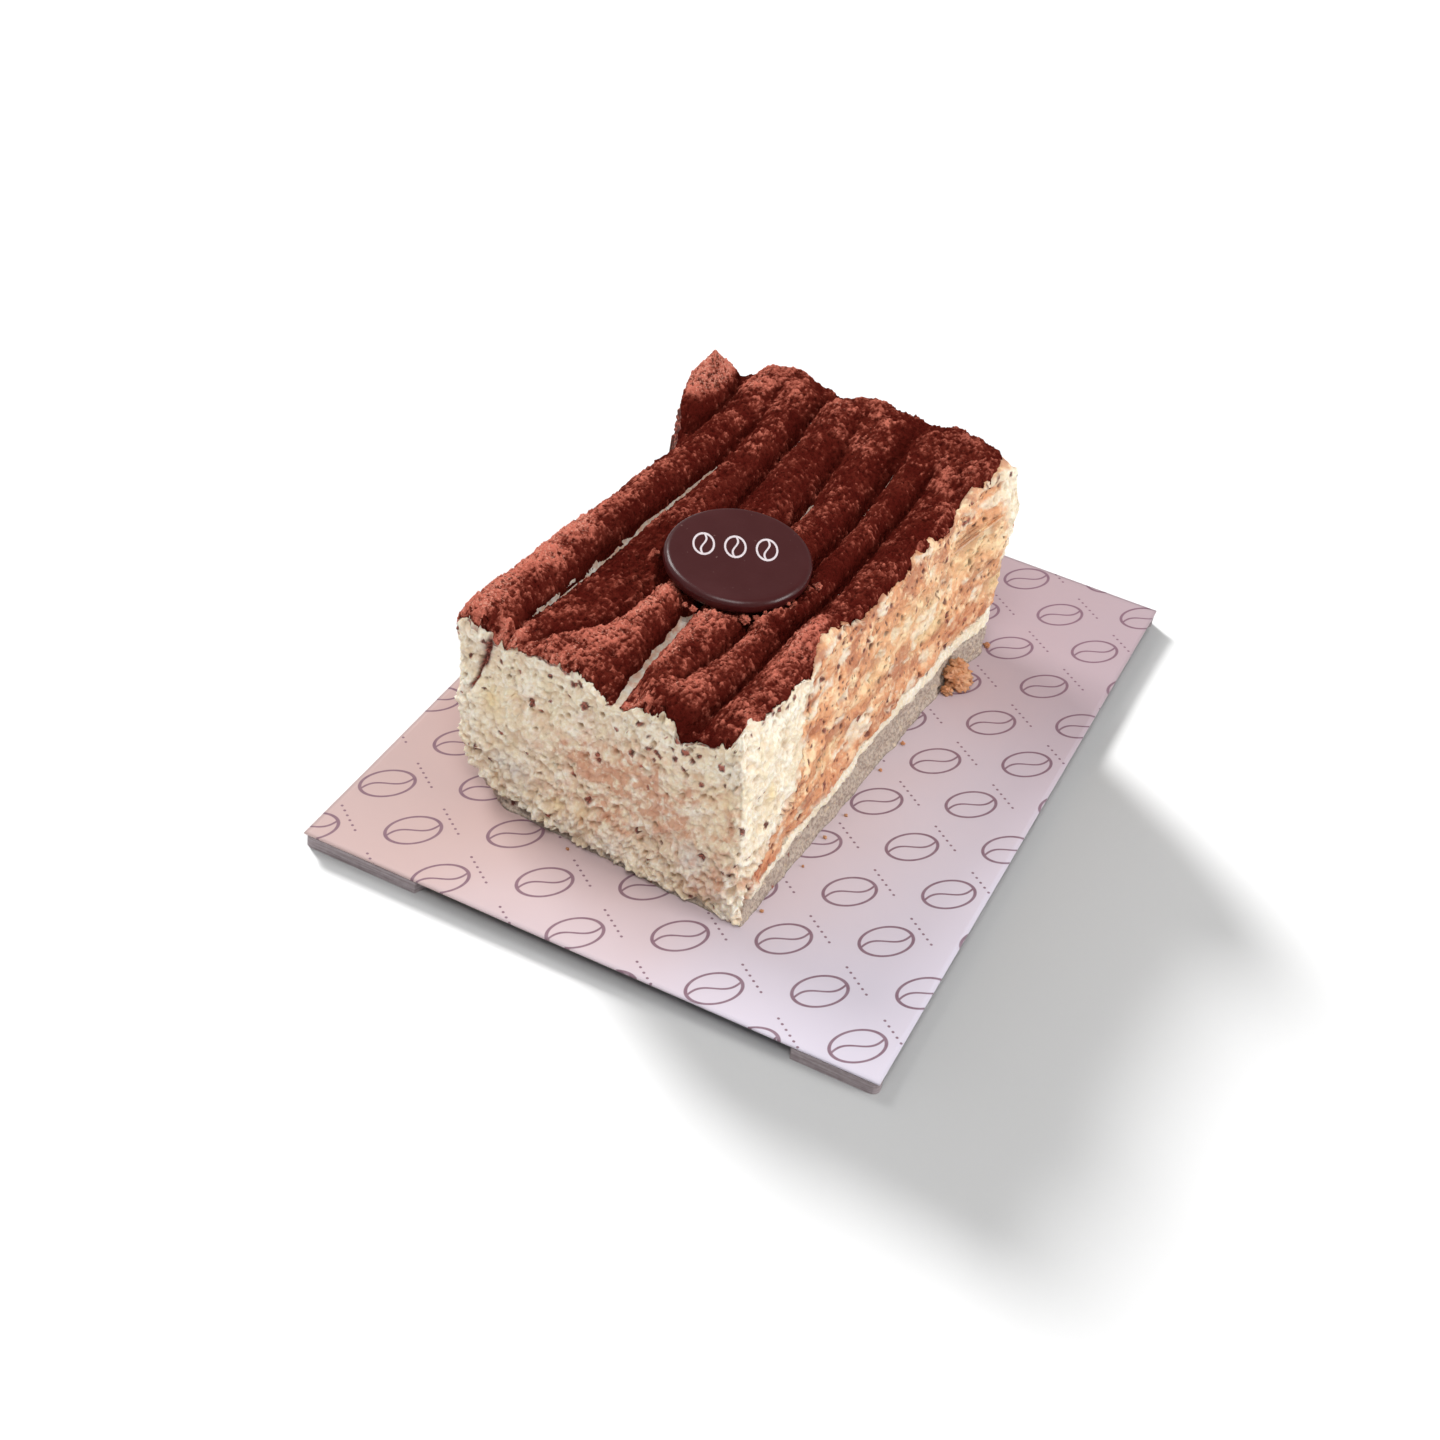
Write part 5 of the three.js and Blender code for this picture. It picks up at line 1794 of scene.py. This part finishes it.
@dataclass(frozen=True)
class CrumbPile:
    """Separate crumbs of one kind as one piece."""

    name: str
    slot: str
    crumbs: tuple[Crumb, ...]
    channels: tuple[tuple[str, tuple[float, ...]], ...]
    splits: int = 3
    squash: Triple = (1.0, 0.85, 0.75)
    lowest: float = 0.03

    def build(self, form: CakeForm) -> bpy.types.Object:
        """The crumbs as one mesh."""
        ball, faces = self._ball()
        shell = Shell()
        for index, crumb in enumerate(self.crumbs):
            place = np.array([crumb.u, crumb.v, crumb.z])
            rough = Noise(101 + index).fractal(ball * 2.2 + index, 5, 0.72)
            pocks = Noise(131 + index).pits(ball * 2.6 + index, 0.9, 0.2, 0.45)
            radius = crumb.radius * (1 + 0.7 * rough - 0.4 * pocks)
            points = place + ball * self.squash * radius[:, None]
            points[:, 2] = np.maximum(points[:, 2], self.lowest)
            values = {name: np.tile(parts, (len(points), 1)) for name, parts in self.channels}
            # Pocks are dented in and painted with the pores' shade.
            if "layers" in values:
                values["layers"][:, 2] = pocks
            shell.add_triangles(faces + shell.add_points(points, **values))
        piece = shell.make(self.name, form)
        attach(piece, "root")
        return piece

    def _ball(self) -> tuple[Array, Array]:
        """Unit ball of even triangles."""
        g = (1 + math.sqrt(5)) / 2
        points = [(-1, g, 0), (1, g, 0), (-1, -g, 0), (1, -g, 0), (0, -1, g), (0, 1, g)]
        points += [(0, -1, -g), (0, 1, -g), (g, 0, -1), (g, 0, 1), (-g, 0, -1), (-g, 0, 1)]
        faces = [(0, 11, 5), (0, 5, 1), (0, 1, 7), (0, 7, 10), (0, 10, 11), (1, 5, 9), (5, 11, 4)]
        faces += [(11, 10, 2), (10, 7, 6), (7, 1, 8), (3, 9, 4), (3, 4, 2), (3, 2, 6), (3, 6, 8)]
        faces += [(3, 8, 9), (4, 9, 5), (2, 4, 11), (6, 2, 10), (8, 6, 7), (9, 8, 1)]
        points, faces = np.array(points, float), np.array(faces)
        for _ in range(self.splits):
            corners = points[faces]
            middles = (corners + np.roll(corners, -1, axis=1)) / 2
            every = np.concatenate([corners.reshape(-1, 3), middles.reshape(-1, 3)])
            keys = np.round(every, 6)
            _, first, index = np.unique(keys, axis=0, return_index=True, return_inverse=True)
            index = index.reshape(-1)
            points = every[first]
            a, b, c = index[: faces.size].reshape(-1, 3).T
            ab, bc, ca = index[faces.size :].reshape(-1, 3).T
            parts = ((a, ab, ca), (b, bc, ab), (c, ca, bc), (ab, bc, ca))
            faces = np.concatenate([np.stack(part, -1) for part in parts])
        return points / np.linalg.norm(points, axis=1, keepdims=True), faces


FALLEN_CRUMBS = tuple(
    Crumb(*row)
    for row in (
        (-1.0, 82.6, 1.9, 2.3), (-1.3, 85.6, 1.5, 1.8), (-0.9, 79.3, 0.9, 1.1), (-1.6, 84.4, 3.4, 1.6),
        (0.9, 84.9, 0.6, 0.7), (-1.5, 98.0, 0.5, 0.6), (-0.7, 60.5, 0.3, 0.4), (-0.4, 51.2, 0.25, 0.3),
        (0.5, 36.3, 0.25, 0.3), (0.4, 28.8, 0.3, 0.35), (0.9, 20.0, 0.2, 0.25), (0.8, 6.0, 0.3, 0.35),
        (-33.0, -1.6, 0.25, 0.3),
    )
)
DISC_CRUMBS = tuple(
    Crumb(*row)
    for row in (
        (-24.9, 24.6, 38.4, 0.85), (-22.6, 25.6, 38.3, 0.6), (-20.4, 26.8, 38.5, 0.9),
        (-19.0, 28.2, 38.6, 0.6), (-16.8, 31.6, 38.7, 0.75), (-15.4, 42.6, 38.9, 0.7),
        (-28.8, 23.9, 38.2, 0.6), (-30.4, 24.0, 38.3, 0.45), (-41.6, 33.2, 38.8, 0.35),
        (-16.4, 34.0, 39.6, 0.4), (-18.3, 29.6, 39.4, 0.35), (-26.6, 24.2, 38.9, 0.4),
    )
)


# ---------------------------------------------------------------- studio


@dataclass(frozen=True)
class Studio:
    """Camera, soft lights and floor."""

    camera_place: Triple = (103.544, -313.038, 263.278)
    camera_turn_deg: Triple = (50.9088, -7.0462, 25.5813)
    lens: float = 56.925
    sensor_width: float = 36.0
    clip: tuple[float, float] = (0.01, 20.0)
    lamps: tuple[tuple[str, Triple, float, float], ...] = (
        ("key", (-0.80, 0.25, 0.80), 0.4, 7.9),
        ("window", (1.05, 0.10, 0.50), 0.5, 7.4),
        ("top", (0.12, -0.55, 1.05), 0.5, 6.0),
    )
    aim: Triple = (0, 0, 0.02)
    surroundings: float = 0.33
    sun_power: float = 15.0
    sun_angle_deg: float = 11
    sun_heading: Triple = (0.80, -0.50, -0.42)
    floor_size: float = 6.0

    def build(self) -> None:
        """Makes everything round the object."""
        scene = bpy.context.scene
        camera = bpy.data.cameras.new("camera")
        camera.lens, camera.sensor_width = self.lens, self.sensor_width
        camera.clip_start, camera.clip_end = self.clip
        scene.camera = new_object("camera", camera)
        scene.camera.location = [c * MM for c in self.camera_place]
        scene.camera.rotation_euler = Euler([math.radians(a) for a in self.camera_turn_deg], "XYZ")
        self._world()
        for lamp in self.lamps:
            self._lamp(*lamp)
        self._floor_light(self._floor())
        scene.view_settings.view_transform = "Standard"

    def _world(self) -> None:
        """Plain white surroundings."""
        world = bpy.data.worlds.new("surroundings")
        world.use_nodes = True
        background = world.node_tree.nodes["Background"]
        background.inputs["Color"].default_value = (1.0, 1.0, 1.0, 1.0)
        background.inputs["Strength"].default_value = self.surroundings
        bpy.context.scene.world = world

    def _floor_light(self, floor: bpy.types.Object) -> None:
        """Light from behind on the left that only the floor receives."""
        data = bpy.data.lights.new("floor_light", "SUN")
        data.energy, data.angle = self.sun_power, math.radians(self.sun_angle_deg)
        lamp = new_object("floor_light", data)
        lamp.rotation_euler = Vector(self.sun_heading).to_track_quat("-Z", "Y").to_euler()
        receivers = bpy.data.collections.new("floor_only")
        receivers.objects.link(floor)
        lamp.light_linking.receiver_collection = receivers

    def _lamp(self, name: str, place: Triple, size: float, power: float) -> None:
        """Soft square light that looks at the cake."""
        data = bpy.data.lights.new(name, "AREA")
        data.shape, data.size, data.energy = "SQUARE", size, power
        lamp = new_object(name, data)
        lamp.location = place
        lamp.rotation_euler = (Vector(self.aim) - Vector(place)).to_track_quat("-Z", "Y").to_euler()

    def _floor(self) -> bpy.types.Object:
        """Floor under the board."""
        half = self.floor_size / 2
        mesh = bpy.data.meshes.new("floor")
        corners = [(-half, -half, 0), (half, -half, 0), (half, half, 0), (-half, half, 0)]
        mesh.from_pydata(corners, [], [(0, 1, 2, 3)])
        floor = new_object("floor", mesh)
        dress(floor, FloorFinish().build())
        return floor


# ---------------------------------------------------------------- putting it together


def main() -> None:
    """Builds every piece round the frame."""
    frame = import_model()
    Studio().build()
    form = CakeForm()
    coarser = 1
    surface = CakeSurface(form, *(count // coarser for count in FINE_GRID))
    LOG.info("surface grids ready")
    cake = Cake(form, surface)
    cut_cake = CutCakeFinish().build()
    *covered, cream = cake.layers()
    for piece in (*map(cake.closed_layer, covered), cake.cream_top(cream)):
        dress(piece, cut_cake)
    cocoa, powder = cake.cocoa_dusting(), CocoaFinish().build()
    dress(cocoa, powder)
    strewn = Grains("cocoa_grains", attribute="dusting", seed=5, density=0.9e6, small=0.10, large=0.24)
    grains = strewn.build(cocoa, powder)
    dress(grains, powder)
    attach(grains, "root")
    # Fallen crumbs: soaked sponge with rust and yellow stains and an even share of painted shade.
    soaked_crumb_with_shade = (("layers", (1.0, 0.0, 0.0, 0.0)), ("stains", (0.0, 0.6, 0.0, 0.25)), ("depths", (0.6,)))
    fallen = CrumbPile("fallen_crumbs", "soaked_sponge", FALLEN_CRUMBS, soaked_crumb_with_shade).build(form)
    dress(fallen, cut_cake)
    # Cocoa clods with a high share of painted light.
    lit_clod = (("dusting", (0.75, 0.0, 0.6, 0.0)),)
    clods = CrumbPile("cocoa_clods", "cocoa", DISC_CRUMBS, lit_clod).build(form)
    dress(clods, powder)
    sheet = PaperSheet().build()
    dress(sheet, PaperFinish().build())
    disc = ChocolateDisc(DISC, form).build()
    centre = form.to_row(np.array([*DISC.motif, DISC.centre[2]])) / MM
    dress(disc, ChocolateFinish(tuple(centre.tolist())).build())
    dress(frame["nodes"]["card_board"], BoardFinish().build())


if __name__ == "__main__":
    logging.basicConfig(level=logging.INFO, format="%(message)s")
    main()
